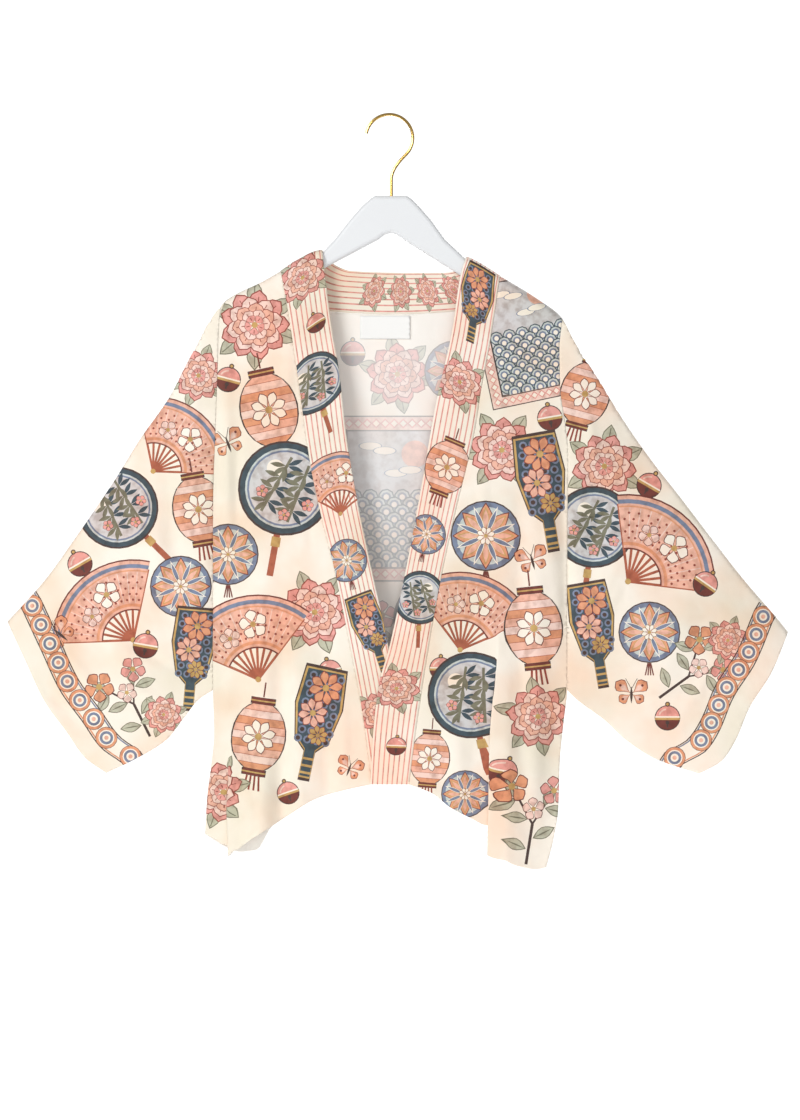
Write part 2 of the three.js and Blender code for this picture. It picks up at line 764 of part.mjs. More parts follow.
// A sleeve: a flat tube with a fold along its top. It meets the armhole row for row.
function sleeve(shape, side, armholeTop, outward) {
  const edges = {
    first: (down) => {
      const z = mix(armholeTop, UNDERARM_Z, down);
      return { x: side(z) + outward * ARMHOLE_GAP, z };
    },
    last: downEdge(shape.cuff, 0),
    top: sleeveEdge(shape.top, outward * ARMHOLE_GAP),
    bottom: sleeveEdge(shape.bottom, outward * ARMHOLE_GAP),
  };
  const point = (column, along) => {
    const { down, facing } = column;
    const place = between(edges, along, down);
    const top = between(edges, along, 0);
    const bottom = between(edges, along, 1);
    const length = Math.hypot(top.x - bottom.x, top.z - bottom.z);
    const seamX = side(mix(armholeTop, UNDERARM_Z, down));
    const atSeam = bodyDepth(seamX, mix(armholeTop, UNDERARM_Z, down));
    const belly = sleeveDepth(along) * Math.sin(Math.PI * down) ** SLEEVE_FULLNESS;
    const least = mix(SLEEVE_LEAST_DEPTH.top, SLEEVE_LEAST_DEPTH.bottom, down);
    const own = (least + belly) * rounded(down * length, SLEEVE_FOLD_ROUND);
    const flat = mix(atSeam, own, smooth(along / ARMHOLE_BLEND));
    const folds = facing < 0 ? FRONT_FOLDS : BACK_FOLDS;
    const deep = withFolds(flat, folds, place.x, place.z) + (SEAM_GAP / 2) * clamp(flat);
    return new THREE.Vector3(place.x, facing * deep, place.z);
  };
  const columns = [
    ...ARMHOLE_STEPS.map((down) => ({ down, facing: -1 })),
    ...ARMHOLE_STEPS.slice(1).reverse().map((down) => ({ down, facing: 1 })),
  ];
  return clothWall(point, columns, even(SLEEVE_SECTIONS), CLOTH_WALL, { firstRow: true }, true);
}

// A front stretch of the neckband, from its seam to its free edge
function neckband(seamRows, freeRows, inward, lift) {
  const last = seamRows.length - 1;
  const gap = (SEAM_GAP / 2) * inward;
  const hemZ = seamRows[last].z;
  const edges = {
    first: downEdge(seamRows, gap),
    last: downEdge(freeRows, 0),
    top: acrossEdge(seamRows[0].x + gap, freeRows[0].x, shoulder),
    bottom: acrossEdge(seamRows[last].x + gap, freeRows[freeRows.length - 1].x, () => hemZ),
  };
  const point = (column, down) => {
    const place = between(edges, column, down);
    const y = frontY(place.x, place.z) - (lift ? lapLift(place.x, place.z) : 0);
    return new THREE.Vector3(place.x, y, place.z);
  };
  return clothWall(point, even(BAND_COLUMNS), BODY_ROWS, BAND_WALL);
}

// The neckband behind the neck, standing up from the scooped seam of the back
function neckbandBack() {
  const free = track(BACK_NECK_FREE, 'x', 'z');
  const edges = {
    first: acrossEdge(NECK_LEFT_X + SEAM_GAP, NECK_RIGHT_X - SEAM_GAP, backNeckSeam),
    last: acrossEdge(BAND_TOP_LEFT_X, BAND_TOP_RIGHT_X, free),
    top: acrossEdge(NECK_LEFT_X + SEAM_GAP, BAND_TOP_LEFT_X, shoulder),
    bottom: acrossEdge(NECK_RIGHT_X - SEAM_GAP, BAND_TOP_RIGHT_X, shoulder),
  };
  const point = (column, along) => {
    const place = between(edges, column, along);
    return new THREE.Vector3(place.x, backY(place.x, place.z), place.z);
  };
  return clothWall(point, even(BAND_COLUMNS), neckSteps(), BAND_WALL);
}

// The label lies on the inner face of the back, just under the neckband
function label() {
  const away = CLOTH_WALL / 2 + SEAM_GAP + LABEL_WALL / 2;
  const point = (column, down) => {
    const x = mix(LABEL.left, LABEL.right, column);
    const z = mix(LABEL.top, LABEL.bottom, down);
    return new THREE.Vector3(x, backY(x, z) - away, z);
  };
  return clothWall(point, even(LABEL_COLUMNS), even(LABEL_ROWS), LABEL_WALL);
}

// Outline of the hanger board, from the foot of the stem over the right arm and back on the left
function hangerOutline() {
  const underCloth = (x) => ({ x, z: shoulder(x) - HANGER_BELOW_CLOTH });
  const corners = [
    ...HEAD_RIGHT,
    ...ARM_TOP_RIGHT.map(underCloth),
    ...UNDERSIDE_RIGHT,
    ...UNDERSIDE_LEFT,
    ...ARM_TOP_LEFT.map(underCloth),
    ...HEAD_LEFT,
  ];
  return new THREE.Shape(corners.map((corner) => new THREE.Vector2(corner.x, corner.z)));
}

// A solid of the joining library from a closed three.js geometry, and back
async function drilled(geometry, tool) {
  const wasm = await Module();
  wasm.setup();
  const toSolid = (source) => {
    const bare = source.clone();
    bare.deleteAttribute('normal');
    bare.deleteAttribute('uv');
    const merged = mergeVertices(bare, SAME_POINT);
    return new wasm.Manifold(new wasm.Mesh({
      numProp: 3,
      vertProperties: new Float32Array(merged.getAttribute('position').array),
      triVerts: new Uint32Array(merged.getIndex().array),
    }));
  };
  const mesh = toSolid(geometry).subtract(toSolid(tool)).getMesh();
  const result = new THREE.BufferGeometry();
  result.setAttribute('position', new THREE.Float32BufferAttribute(mesh.vertProperties, 3));
  result.setIndex([...mesh.triVerts]);
  result.computeVertexNormals();
  return result;
}

// The board, with a hole down its head for the stem of the hook
async function hanger() {
  const board = new THREE.ExtrudeGeometry(hangerOutline(), {
    depth: HANGER_THICK - 2 * HANGER_BEVEL,
    bevelThickness: HANGER_BEVEL,
    bevelSize: HANGER_BEVEL,
    bevelOffset: -HANGER_BEVEL,
    bevelSegments: HANGER_BEVEL_STEPS,
    curveSegments: 1,
  });
  board.rotateX(Math.PI / 2);
  board.translate(0, HANGER_THICK / 2 - HANGER_BEVEL, 0);
  const radius = WIRE_RADIUS + SEAM_GAP;
  const hole = new THREE.CylinderGeometry(radius, radius, 2 * STEM_HOLE_DEPTH, STEM_HOLE_SIDES);
  hole.rotateX(Math.PI / 2);
  hole.translate(STEM_X, 0, HEAD_TOP_Z);
  return drilled(board, hole);
}

// The wire: up out of the board, a bend to the right, then round to the tip on the left
class HookLine extends THREE.Curve {
  constructor() {
    super();
    const from = THREE.MathUtils.degToRad(HOOK_FOOT_ANGLE);
    const to = THREE.MathUtils.degToRad(HOOK_TIP_ANGLE);
    const stemFoot = HEAD_TOP_Z - STEM_HOLE_DEPTH + 1;
    const points = [
      new THREE.Vector3(STEM_X, 0, stemFoot),
      new THREE.Vector3(STEM_X, 0, HEAD_TOP_Z),
      ...STEM_BEND.map((place) => new THREE.Vector3(place.x, 0, place.z)),
    ];
    for (let i = 0; i <= HOOK_ARC_STEPS; i += 1) {
      const angle = mix(from, to, i / HOOK_ARC_STEPS);
      points.push(new THREE.Vector3(
        HOOK_CENTRE.x + HOOK_RADIUS * Math.cos(angle),
        0,
        HOOK_CENTRE.z + HOOK_RADIUS * Math.sin(angle),
      ));
    }
    this.line = new THREE.CatmullRomCurve3(points, false, 'centripetal');
    this.line.arcLengthDivisions = 800;
  }

  getPoint(t, target = new THREE.Vector3()) {
    return this.line.getPointAt(t, target);
  }
}

function hook() {
  const section = new THREE.Shape();
  section.absarc(0, 0, WIRE_RADIUS, 0, 2 * Math.PI, false);
  return new THREE.ExtrudeGeometry(section, {
    steps: HOOK_SECTIONS,
    curveSegments: WIRE_SIDES / 2,
    bevelEnabled: false,
    extrudePath: new HookLine(),
  });
}

const group = new THREE.Group();

function add(name, geometry, finish) {
  const mesh = new THREE.Mesh(geometry, new THREE.MeshStandardMaterial(finish));
  mesh.name = name;
  group.add(mesh);
}

add('hanger', await hanger(), WHITE_PAINT);
add('hanger_hook', hook(), GOLD_WIRE);
add('back', back(), PRINTED_CREPE);
add('front_left', frontLeft(), PRINTED_CREPE);
add('front_right', frontRight(), PRINTED_CREPE);
add('sleeve_left', sleeve(SLEEVE_LEFT, leftSide, LEFT_SIDE[0].z, -1), PRINTED_CREPE);
add('sleeve_right', sleeve(SLEEVE_RIGHT, rightSide, RIGHT_SIDE[0].z, 1), PRINTED_CREPE);
add('neckband_back', neckbandBack(), STRIPED_CREPE);
add('neckband_left', neckband(BAND_SEAM_LEFT, BAND_FREE_LEFT, 1, false), STRIPED_CREPE);
add('neckband_right', neckband(BAND_SEAM_RIGHT, BAND_FREE_RIGHT, -1, true), STRIPED_CREPE);
add('label', label(), WOVEN_TAPE);

export default group;
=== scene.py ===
# Kimono jacket of printed crepe on a flat painted hanger, seen from the front.
# Left and right are the viewer's. Cloth is drawn flat in millimetres, as a cutter lays it out,
# and turns to metres when it is hung.
import functools
import math

import bpy
import numpy as np
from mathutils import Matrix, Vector
from mathutils.geometry import delaunay_2d_cdt


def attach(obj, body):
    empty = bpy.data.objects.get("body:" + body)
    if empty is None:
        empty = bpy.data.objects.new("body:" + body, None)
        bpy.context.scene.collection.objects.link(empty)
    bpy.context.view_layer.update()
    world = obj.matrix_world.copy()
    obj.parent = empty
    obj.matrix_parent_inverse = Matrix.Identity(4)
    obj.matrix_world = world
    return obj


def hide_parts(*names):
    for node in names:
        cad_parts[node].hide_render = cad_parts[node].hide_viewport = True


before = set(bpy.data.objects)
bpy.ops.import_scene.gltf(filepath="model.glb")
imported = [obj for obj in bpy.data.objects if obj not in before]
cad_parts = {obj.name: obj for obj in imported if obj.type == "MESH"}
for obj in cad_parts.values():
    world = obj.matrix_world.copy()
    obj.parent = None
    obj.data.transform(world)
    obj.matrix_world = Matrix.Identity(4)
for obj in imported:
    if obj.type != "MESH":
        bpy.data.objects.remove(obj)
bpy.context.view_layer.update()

# The printed crepe
# Light crepe with a grain like fine sand, dyed in soft clouds of cream, peach and grey-green and
# then screen-printed, so each colour of the print is an ink with a crisp edge on the same cloth.
MM = 0.001
# Real crepe has a grain of about 0.4 mm, too fine to show, so it is drawn coarser.
CREPE_GRAIN, GRAIN_DEEP = 1.2 * MM, 0.15 * MM
RUMPLE, RUMPLE_DEEP = 38 * MM, 5 * MM
# Size and tint of the clouds in the dye, and of the uneven wash in the inks
PEACH_CLOUD, GREEN_CLOUD = (95 * MM, "#ffece1"), (130 * MM, "#f2f2ea")
INK_WASH = (9 * MM, "#ddd5d1")
CLOUD_STARTS, CLOUD_FULL = 0.42, 0.68
GROUND = "cream"
INKS = {
    GROUND: "#faf0e2", "coral": "#f3bca6", "dark red": "#99483a", "rust": "#b5664b",
    "sage": "#c5c3ad", "olive": "#7f7d68", "slate": "#7f8ba5", "teal": "#44545e",
    "lilac": "#d6d4d5", "pink": "#eda79e", "blush": "#f9d9cd", "orange": "#e7a27c",
    "maroon": "#763a31", "brown": "#4f3c37", "gold": "#cda968", "ice": "#ced7d6",
}
# The reverse of the print is paler, and is mixed further towards white as painted light, standing for
# light let through the thin crepe from behind.
REVERSE_PALE_AND_LIT, REVERSE_FADE_AND_LIGHT = "#ffffff", 0.5


def linear(colour):
    """An sRGB hex colour as linear red, green, blue and 1."""
    parts = [int(colour[i:i + 2], 16) / 255 for i in (1, 3, 5)]
    return [c / 12.92 if c <= 0.04045 else ((c + 0.055) / 1.055) ** 2.4 for c in parts] + [1]


def add_node(tree, kind, sockets=(), **settings):
    """A node with its settings, its socket values and the links that come into it."""
    node = tree.nodes.new(kind)
    for name, value in settings.items():
        setattr(node, name, value)
    for socket, value in dict(sockets).items():
        if isinstance(value, bpy.types.NodeSocket):
            tree.links.new(value, node.inputs[socket])
        else:
            node.inputs[socket].default_value = value
    return node


def new_material(name):
    material = bpy.data.materials.new(name)
    material.use_nodes = True
    material.node_tree.nodes.clear()
    return material, material.node_tree


def printed_crepe(ink, colour):
    """Matt crepe: grain and rumples break up the light, the dye is cloudy, the reverse paler, partly
    painted light let through the cloth.
    """
    material, tree = new_material(f"crepe printed {ink}")
    place = add_node(tree, "ShaderNodeTexCoord").outputs["Object"]
    shade = linear(colour)
    clouds = [PEACH_CLOUD, GREEN_CLOUD]
    if ink != GROUND:
        clouds.append(INK_WASH)
    for cloud, tint in clouds:
        noise = add_node(tree, "ShaderNodeTexNoise",
                         {"Vector": place, "Scale": 1 / cloud, "Detail": 3.0})
        amount = add_node(tree, "ShaderNodeMapRange",
                          {"Value": noise.outputs["Fac"], "From Min": CLOUD_STARTS,
                           "From Max": CLOUD_FULL})
        dyed = add_node(tree, "ShaderNodeMix", {6: shade, 7: linear(tint)},
                        data_type="RGBA", blend_type="MULTIPLY")
        tree.links.new(amount.outputs["Result"], dyed.inputs["Factor"])
        shade = dyed.outputs[2]
    # Towards the reverse the colour is mixed with white: partly the paler back of the print, partly
    # painted light let through the cloth.
    inside = add_node(tree, "ShaderNodeAttribute", attribute_name="inside")
    fading = add_node(tree, "ShaderNodeMath", {0: inside.outputs["Fac"], 1: REVERSE_FADE_AND_LIGHT},
                      operation="MULTIPLY")
    paled_and_lit = add_node(tree, "ShaderNodeMix",
                     {"Factor": fading.outputs[0], 6: shade, 7: linear(REVERSE_PALE_AND_LIT)},
                     data_type="RGBA")
    grain = add_node(tree, "ShaderNodeTexNoise",
                     {"Vector": place, "Scale": 1 / CREPE_GRAIN, "Detail": 2.0})
    rumple = add_node(tree, "ShaderNodeTexNoise",
                      {"Vector": place, "Scale": 1 / RUMPLE, "Detail": 2.0})
    soft = add_node(tree, "ShaderNodeBump",
                    {"Height": rumple.outputs["Fac"], "Strength": 0.5, "Distance": RUMPLE_DEEP})
    bump = add_node(tree, "ShaderNodeBump",
                    {"Height": grain.outputs["Fac"], "Strength": 0.3, "Distance": GRAIN_DEEP,
                     "Normal": soft.outputs["Normal"]})
    surface = add_node(tree, "ShaderNodeBsdfPrincipled",
                       {"Base Color": paled_and_lit.outputs[2], "Normal": bump.outputs["Normal"],
                        "Roughness": 0.75, "IOR": 1.5, "Sheen Weight": 0.1})
    add_node(tree, "ShaderNodeOutputMaterial", {"Surface": surface.outputs["BSDF"]})
    return material


CREPE = {ink: printed_crepe(ink, colour) for ink, colour in INKS.items()}


# The screens
# The print is a scatter of festival things: fans, thread balls, lanterns, paddles, bells and
# flowers. Each is built up from flat shapes in a square from -1 to 1, the last one on top.
def mix(a, b, share):
    return a + (b - a) * share


def turned(points, degrees):
    a = math.radians(degrees)
    return np.array(points) @ np.array([[math.cos(a), math.sin(a)], [-math.sin(a), math.cos(a)]])


def ring(radius, at=(0, 0), tall=1, lobes=1, wave=0, steps=24):
    """Round a disc, or round a flower if it has lobes that wave in and out."""
    a = np.linspace(0, 2 * math.pi, steps, endpoint=False)
    r = radius * (1 + wave * np.cos(lobes * a))
    return np.stack([at[0] + r * np.cos(a), at[1] + tall * r * np.sin(a)], axis=1)


def petal(turn, start, long, wide, at=(0, 0), tip=1.0, steps=6):
    """A leaf or petal that points away from a place; a higher tip makes its end broader."""
    t = np.linspace(0, 1, steps + 1)
    half = wide / 2 * np.sin(math.pi * t ** tip)
    along = start + long * t
    right = np.stack([along, half], axis=1)
    left = np.stack([along, -half], axis=1)[-2:0:-1]
    return turned(np.concatenate([right, left]), turn) + at


def bar(start, end, wide):
    start, end = np.array(start, float), np.array(end, float)
    run = (end - start) / np.linalg.norm(end - start)
    side = np.array([-run[1], run[0]]) * wide / 2
    return np.array([start - side, end - side, end + side, start + side])


def wedge(inner, outer, start, end, at=(0, 0), steps=14):
    """A stretch of a ring between two angles."""
    a = np.radians(np.linspace(start, end, steps + 1))
    out = np.stack([np.cos(a), np.sin(a)], axis=1)
    return np.concatenate([out * outer, (out * inner)[::-1]]) + at


def box(left, bottom, right, top):
    return np.array([(left, bottom), (right, bottom), (right, top), (left, top)], float)


def outlined(line, fill, shape, edge=0.1):
    centre = shape.mean(axis=0)
    return [(line, shape), (fill, centre + (shape - centre) * (1 - edge))]


def blossom(at, size, fill, line="maroon", count=5, turn=18):
    parts = []
    for k in range(count):
        parts += outlined(line, fill, petal(turn + 360 * k / count, 0.1 * size, 0.9 * size,
                                            4.2 * size / count, at, 1.5), 0.14)
    return parts + [("gold", ring(0.2 * size, at, steps=8))]


def peony():
    parts = []
    for turn in (15, 70, 135, 200, 250, 320):
        parts += outlined("olive", "sage", petal(turn, 0.4, 0.62, 0.36), 0.12)
        parts.append(("olive", turned(bar((0.5, 0), (0.94, 0), 0.025), turn)))
    for reach, count, ink in ((0.78, 9, "pink"), (0.64, 8, "blush"), (0.5, 7, "coral"),
                              (0.36, 6, "blush"), (0.23, 5, "pink")):
        for k in range(count):
            turn = 360 * k / count + 130 * reach
            shape = petal(turn, 0.12 * reach, 0.9 * reach, 5 * reach / count, tip=1.8)
            parts += outlined("dark red", ink, shape, 0.09)
            vein = bar((0.5 * reach, 0), (0.82 * reach, 0), 0.018)
            parts.append(("dark red", turned(vein, turn)))
    return parts + [("gold", ring(0.07, steps=8))]


def folding_fan():
    pivot, spread = (0, -0.8), (38, 142)
    parts = [("rust", bar(pivot, (1.5 * math.cos(a), -0.8 + 1.5 * math.sin(a)), 0.05))
             for a in np.radians(np.linspace(*spread, 9))]
    for inner, outer, ink in ((0.62, 1.68, "maroon"), (0.65, 1.65, "coral"),
                              (1.5, 1.58, "slate"), (1.43, 1.46, "orange"),
                              (0.7, 0.76, "orange")):
        parts.append((ink, wedge(inner, outer, *spread, at=pivot)))
    for a in np.linspace(*spread, 13)[1:-1]:
        out = np.array([math.cos(math.radians(a)), math.sin(math.radians(a))])
        parts.append(("blush", bar(pivot + out * 0.78, pivot + out * 1.42, 0.018)))
    for row, reach in enumerate((0.84, 0.96, 1.08, 1.2, 1.32)):
        for a in np.radians(np.linspace(42 + 4 * (row % 2), 134 + 4 * (row % 2), 12)):
            place = (reach * math.cos(a), pivot[1] + reach * math.sin(a))
            parts.append(("dark red", ring(0.026, place, steps=6)))
    parts += blossom((0.18, 0.28), 0.3, "cream") + blossom((-0.34, 0.12), 0.22, "blush")
    return parts + [("gold", ring(0.06, pivot, steps=8))]


def thread_ball():
    parts = [("brown", ring(0.8)), ("slate", ring(0.77)), ("ice", ring(0.66))]
    for k in range(8):
        parts += outlined("maroon", "orange", petal(45 * k, 0, 0.76, 0.34), 0.1)
        parts += outlined("gold", "coral", petal(45 * k, 0.1, 0.56, 0.16), 0.2)
    for k in range(8):
        parts += outlined("cream", "slate", petal(45 * k + 22.5, 0, 0.72, 0.12), 0.22)
    parts += blossom((0, 0), 0.22, "cream", count=8)
    for x in (-0.1, -0.03, 0.04, 0.11):
        parts.append(("maroon", bar((x / 3, -0.8), (x, -1.12), 0.035)))
    return parts


def round_fan():
    centre = (0, 0.3)
    parts = [("rust", bar((0, -0.4), (0, -1.05), 0.1)), ("gold", bar((0, -0.45), (0, -0.6), 0.14)),
             ("brown", ring(0.72, centre, steps=30)), ("teal", ring(0.69, centre, steps=30)),
             ("ice", ring(0.61, centre, steps=30)), ("slate", ring(0.58, centre, steps=30)),
             ("lilac", ring(0.55, centre, steps=30)), ("cream", ring(0.13, (-0.2, 0.58)))]
    for foot, head in (((-0.3, -0.1), (0.02, 0.78)), ((0.12, -0.2), (0.3, 0.7))):
        parts.append(("olive", bar(foot, head, 0.045)))
        for share in (0.2, 0.42, 0.64, 0.84):
            joint = mix(np.array(foot), np.array(head), share)
            for turn in (-60, -20, 130, 170, 215):
                leaf = petal(turn + 60 * share, 0.02, 0.24, 0.075, joint)
                parts.append(("teal" if turn < 0 else "olive", leaf))
    for place in ((-0.34, 0.2), (0.38, 0.1), (0.05, -0.1)):
        parts += blossom(place, 0.1, "pink")
    return parts


def lantern():
    parts = [("maroon", bar((0, 0.8), (0, 1.1), 0.03)), ("brown", ring(0.56, tall=1.27))]
    heights = np.linspace(-0.68, 0.68, 10)
    for k, (low, high) in enumerate(zip(heights[:-1], heights[1:])):
        reach = [0.53 * math.sqrt(1 - (z / 0.71) ** 2) for z in (low, high)]
        band = [(-reach[0], low), (reach[0], low), (reach[1], high), (-reach[1], high)]
        parts.append((("orange", "blush", "coral")[k % 3], np.array(band)))
        parts.append(("rust", bar((-reach[1], high), (reach[1], high), 0.022)))
    for z, wide in ((0.72, 0.5), (-0.72, 0.5)):
        parts += outlined("brown", "maroon", box(-wide / 2, z - 0.07, wide / 2, z + 0.07), 0.1)
        parts.append(("gold", bar((-wide / 2, z), (wide / 2, z), 0.03)))
    parts += blossom((0, 0), 0.36, "cream", count=8)
    for x in (-0.12, -0.04, 0.04, 0.12):
        parts.append(("dark red", bar((x, -0.79), (x * 1.3, -1.08), 0.04)))
    return parts


def paddle():
    board = np.array([(-0.36, 0.98), (0.36, 0.98), (0.42, 0.3), (0.3, -0.3), (0.1, -0.5),
                      (0.1, -1), (-0.1, -1), (-0.1, -0.5), (-0.3, -0.3), (-0.42, 0.3)])
    parts = [("brown", board), ("gold", board * 0.95), ("teal", board * (0.86, 0.92))]
    for row, z in enumerate(np.linspace(-0.3, 0.8, 8)):
        for x in np.linspace(-0.24, 0.24, 4) + 0.04 * (row % 2):
            parts += outlined("slate", "brown", ring(0.07, (x, z), steps=10), 0.45)
    for place, size, ink in (((0.05, 0.62), 0.3, "orange"), ((-0.08, 0.16), 0.26, "coral"),
                             ((0.08, -0.2), 0.18, "gold")):
        parts += blossom(place, size, ink, "dark red", 8)
    for z in (-0.62, -0.74, -0.86):
        parts.append(("gold", bar((-0.1, z), (0.1, z), 0.04)))
    return parts


def butterfly():
    parts = []
    for side in (1, -1):
        for turn, long, wide in ((38, 1, 0.72), (-32, 0.72, 0.56)):
            lean = turn if side > 0 else 180 - turn
            parts += outlined("maroon", "orange", petal(lean, 0.04, long, wide, tip=1.8), 0.1)
            parts += outlined("coral", "blush", petal(lean, 0.12, long * 0.66, wide * 0.5,
                                                      tip=1.6), 0.3)
            spot = turned([(long * 0.72, 0)], lean)[0]
            parts.append(("maroon", ring(0.07, spot, steps=8)))
        parts.append(("brown", bar((0, 0.25), (0.3 * side, 0.8), 0.03)))
    return parts + [("brown", petal(90, -0.5, 0.9, 0.14))]


def sprig():
    parts = [("brown", bar((-0.15, -1), (0.05, -0.2), 0.06)),
             ("brown", bar((0.05, -0.2), (-0.25, 0.5), 0.045)),
             ("brown", bar((0.05, -0.2), (0.5, 0.35), 0.04))]
    for turn, place in ((150, (-0.1, -0.7)), (20, (0, -0.5)), (165, (0, -0.1)), (60, (0.3, 0.1)),
                        (110, (-0.2, 0.3)), (-20, (0.3, 0.1)), (200, (-0.2, 0.35))):
        parts += outlined("olive", "sage", petal(turn, 0.03, 0.5, 0.24, place), 0.14)
        parts.append(("olive", petal(turn, 0.06, 0.4, 0.03, place)))
    parts += blossom((-0.3, 0.6), 0.36, "orange") + blossom((0.55, 0.42), 0.3, "pink")
    return parts + blossom((0.1, 0.1), 0.24, "blush")


def bell():
    parts = [("brown", ring(0.8)), ("pink", wedge(0, 0.74, 0, 180)),
             ("maroon", wedge(0, 0.74, 180, 360)), ("cream", bar((-0.76, 0.06), (0.76, 0.06), 0.1)),
             ("gold", bar((-0.78, -0.06), (0.78, -0.06), 0.14)),
             ("brown", bar((0, -0.2), (0, -0.6), 0.1)), ("brown", ring(0.13, (0, -0.3), steps=10)),
             ("blush", wedge(0.5, 0.6, 100, 160))]
    return parts + outlined("brown", "gold", ring(0.16, (0, 0.86), steps=10), 0.4)


def wave_screen():
    """A framed panel of overlapping waves with a lattice border."""
    parts = [("brown", box(-0.78, -1.04, 0.78, 1.04)), ("blush", box(-0.765, -1.025, 0.765, 1.025)),
             ("brown", box(-0.6, -0.86, 0.6, 0.86)), ("lilac", box(-0.585, -0.845, 0.585, 0.845)),
             ("coral", ring(0.17, (0.26, 0.56)))]
    for cloud in ((-0.3, 0.66), (-0.12, 0.6), (0.02, 0.32), (0.2, 0.36)):
        parts += outlined("slate", "cream", ring(0.15, cloud, tall=0.35), 0.1)
    for row, z in enumerate(np.arange(0.02, -0.86, -0.095)):
        for x in np.arange(-0.5 + 0.1 * (row % 2), 0.52, 0.2):
            for reach, ink in ((0.105, "teal"), (0.088, "ice"), (0.062, "slate"), (0.036, "cream")):
                parts.append((ink, ring(reach, (x, z), steps=9)))
    for left, bottom, right, top in ((-0.765, -1.025, 0.765, -0.86), (-0.765, -0.88, -0.6, 0.86),
                                     (0.6, -0.88, 0.765, 0.86)):
        parts.append(("blush", box(left, bottom, right, top)))
    for foot, end in (((-0.6, -0.87), (0.6, -0.87)), ((-0.6, -0.87), (-0.6, 0.87)),
                      ((0.6, -0.87), (0.6, 0.87))):
        parts.append(("brown", bar(foot, end, 0.015)))
    diamond = turned(box(-0.045, -0.045, 0.045, 0.045), 45)
    posts = [(x, -0.94 + 0.1175 * k) for k in range(17) for x in (-0.683, 0.683)]
    rails = [(-0.565 + 0.113 * k, z) for k in range(11) for z in (-0.943, 0.943)]
    for place in posts + rails:
        parts += outlined("pink", "cream", diamond + place, 0.35)
    return parts


def anticlockwise(shape):
    ahead = np.roll(shape, -1, axis=0)
    turns = np.sum(shape[:, 0] * ahead[:, 1] - shape[:, 1] * ahead[:, 0])
    return shape if turns > 0 else shape[::-1]


def stepped(shape, step):
    """A shape whose outline has no points further apart than a step."""
    ahead = np.roll(shape, -1, axis=0)
    counts = np.maximum(np.ceil(np.hypot(*(ahead - shape).T) / step), 1).astype(int)
    return np.concatenate([mix(a, b, np.arange(n)[:, None] / n)
                           for a, b, n in zip(shape, ahead, counts)])


INK_ORDER = list(INKS)
NO_INK = -1
SCREEN_JOINED = 1e-5


def ink_edges(shapes):
    """The corners and edges where one ink of a stamp meets another or the ground."""
    points = [Vector(p) for _, shape in shapes for p in anticlockwise(shape)]
    sizes = np.cumsum([0] + [len(shape) for _, shape in shapes])
    faces = [list(range(a, b)) for a, b in zip(sizes[:-1], sizes[1:])]
    flat, _, triangles, _, _, sources = delaunay_2d_cdt(points, [], faces, 1, SCREEN_JOINED)
    names = [INK_ORDER.index(ink) for ink, _ in shapes]
    inks = np.array([names[max(source)] if source else NO_INK for source in sources])
    triangles = np.array(triangles)
    edges = np.concatenate([triangles[:, [0, 1]], triangles[:, [1, 2]], triangles[:, [2, 0]]])
    edges, at, uses = np.unique(np.sort(edges, axis=1), axis=0, return_inverse=True,
                                return_counts=True)
    low, high = np.full(len(edges), len(INK_ORDER)), np.full(len(edges), NO_INK)
    np.minimum.at(low, at.ravel(), np.tile(inks, 3))
    np.maximum.at(high, at.ravel(), np.tile(inks, 3))
    edges = edges[(uses == 1) | (low != high)]
    used, edges = np.unique(edges, return_inverse=True)
    return np.array([tuple(p) for p in flat])[used], edges.reshape(-1, 2)


# The longest straight stretch of an ink's edge: as a share of a motif's half size, and in mm.
SCREEN_STEP, STAMP_STEP = 0.12, 5
SCREENS = {}


def stamp(shapes, lay_flat=None, edges=None):
    """One stamp of the print, laid on the flat cloth: its shapes, corners and edges."""
    if edges is None:
        shapes = [(ink, stepped(shape, STAMP_STEP)) for ink, shape in shapes]
        edges = ink_edges(shapes)
    corners, edges = edges
    if lay_flat is not None:
        shapes = [(ink, lay_flat(shape)) for ink, shape in shapes]
        corners = lay_flat(corners)
    return shapes, corners, edges


def placed(layout, lay_flat=None):
    """Stamps each motif of a layout, given as motif, place, half size in mm and turn."""
    stamps = []
    for motif, x, z, size, turn in layout:
        if motif not in SCREENS:
            drawn = [(ink, stepped(shape, SCREEN_STEP)) for ink, shape in motif()]
            SCREENS[motif] = (drawn, *ink_edges(drawn))
        shapes, corners, edges = SCREENS[motif]
        moved = [(ink, turned(shape, turn) * size + (x, z)) for ink, shape in shapes]
        lay = lay_flat and functools.partial(lay_flat, about=(x, z))
        stamps.append(stamp(moved, lay, (turned(corners, turn) * size + (x, z), edges)))
    return stamps


def chain_border(line, start, end, count, wide, towards):
    """A chain of rings between two pairs of lines, beside the edge that line gives for a share."""
    stamps = []
    edge = np.array([line(share) for share in np.linspace(start, end, 40)])
    across = towards * wide
    for away, thick, ink in ((0.06, 0.05, "brown"), (0.94, 0.05, "brown"), (0.14, 0.06, "orange"),
                             (0.86, 0.06, "slate")):
        near, far = edge + across * (away - thick / 2), edge + across * (away + thick / 2)
        stamps.append((ink, np.concatenate([near, far[::-1]])))
    for k in range(count):
        centre = line(mix(start, end, (k + 0.5) / count)) + across / 2
        for reach, ink in ((0.46, "brown"), (0.44, "orange"), (0.33, "cream"), (0.28, "slate"),
                           (0.17, "cream"), (0.09, "coral")):
            stamps.append((ink, ring(reach * wide, centre, steps=16)))
    return stamps


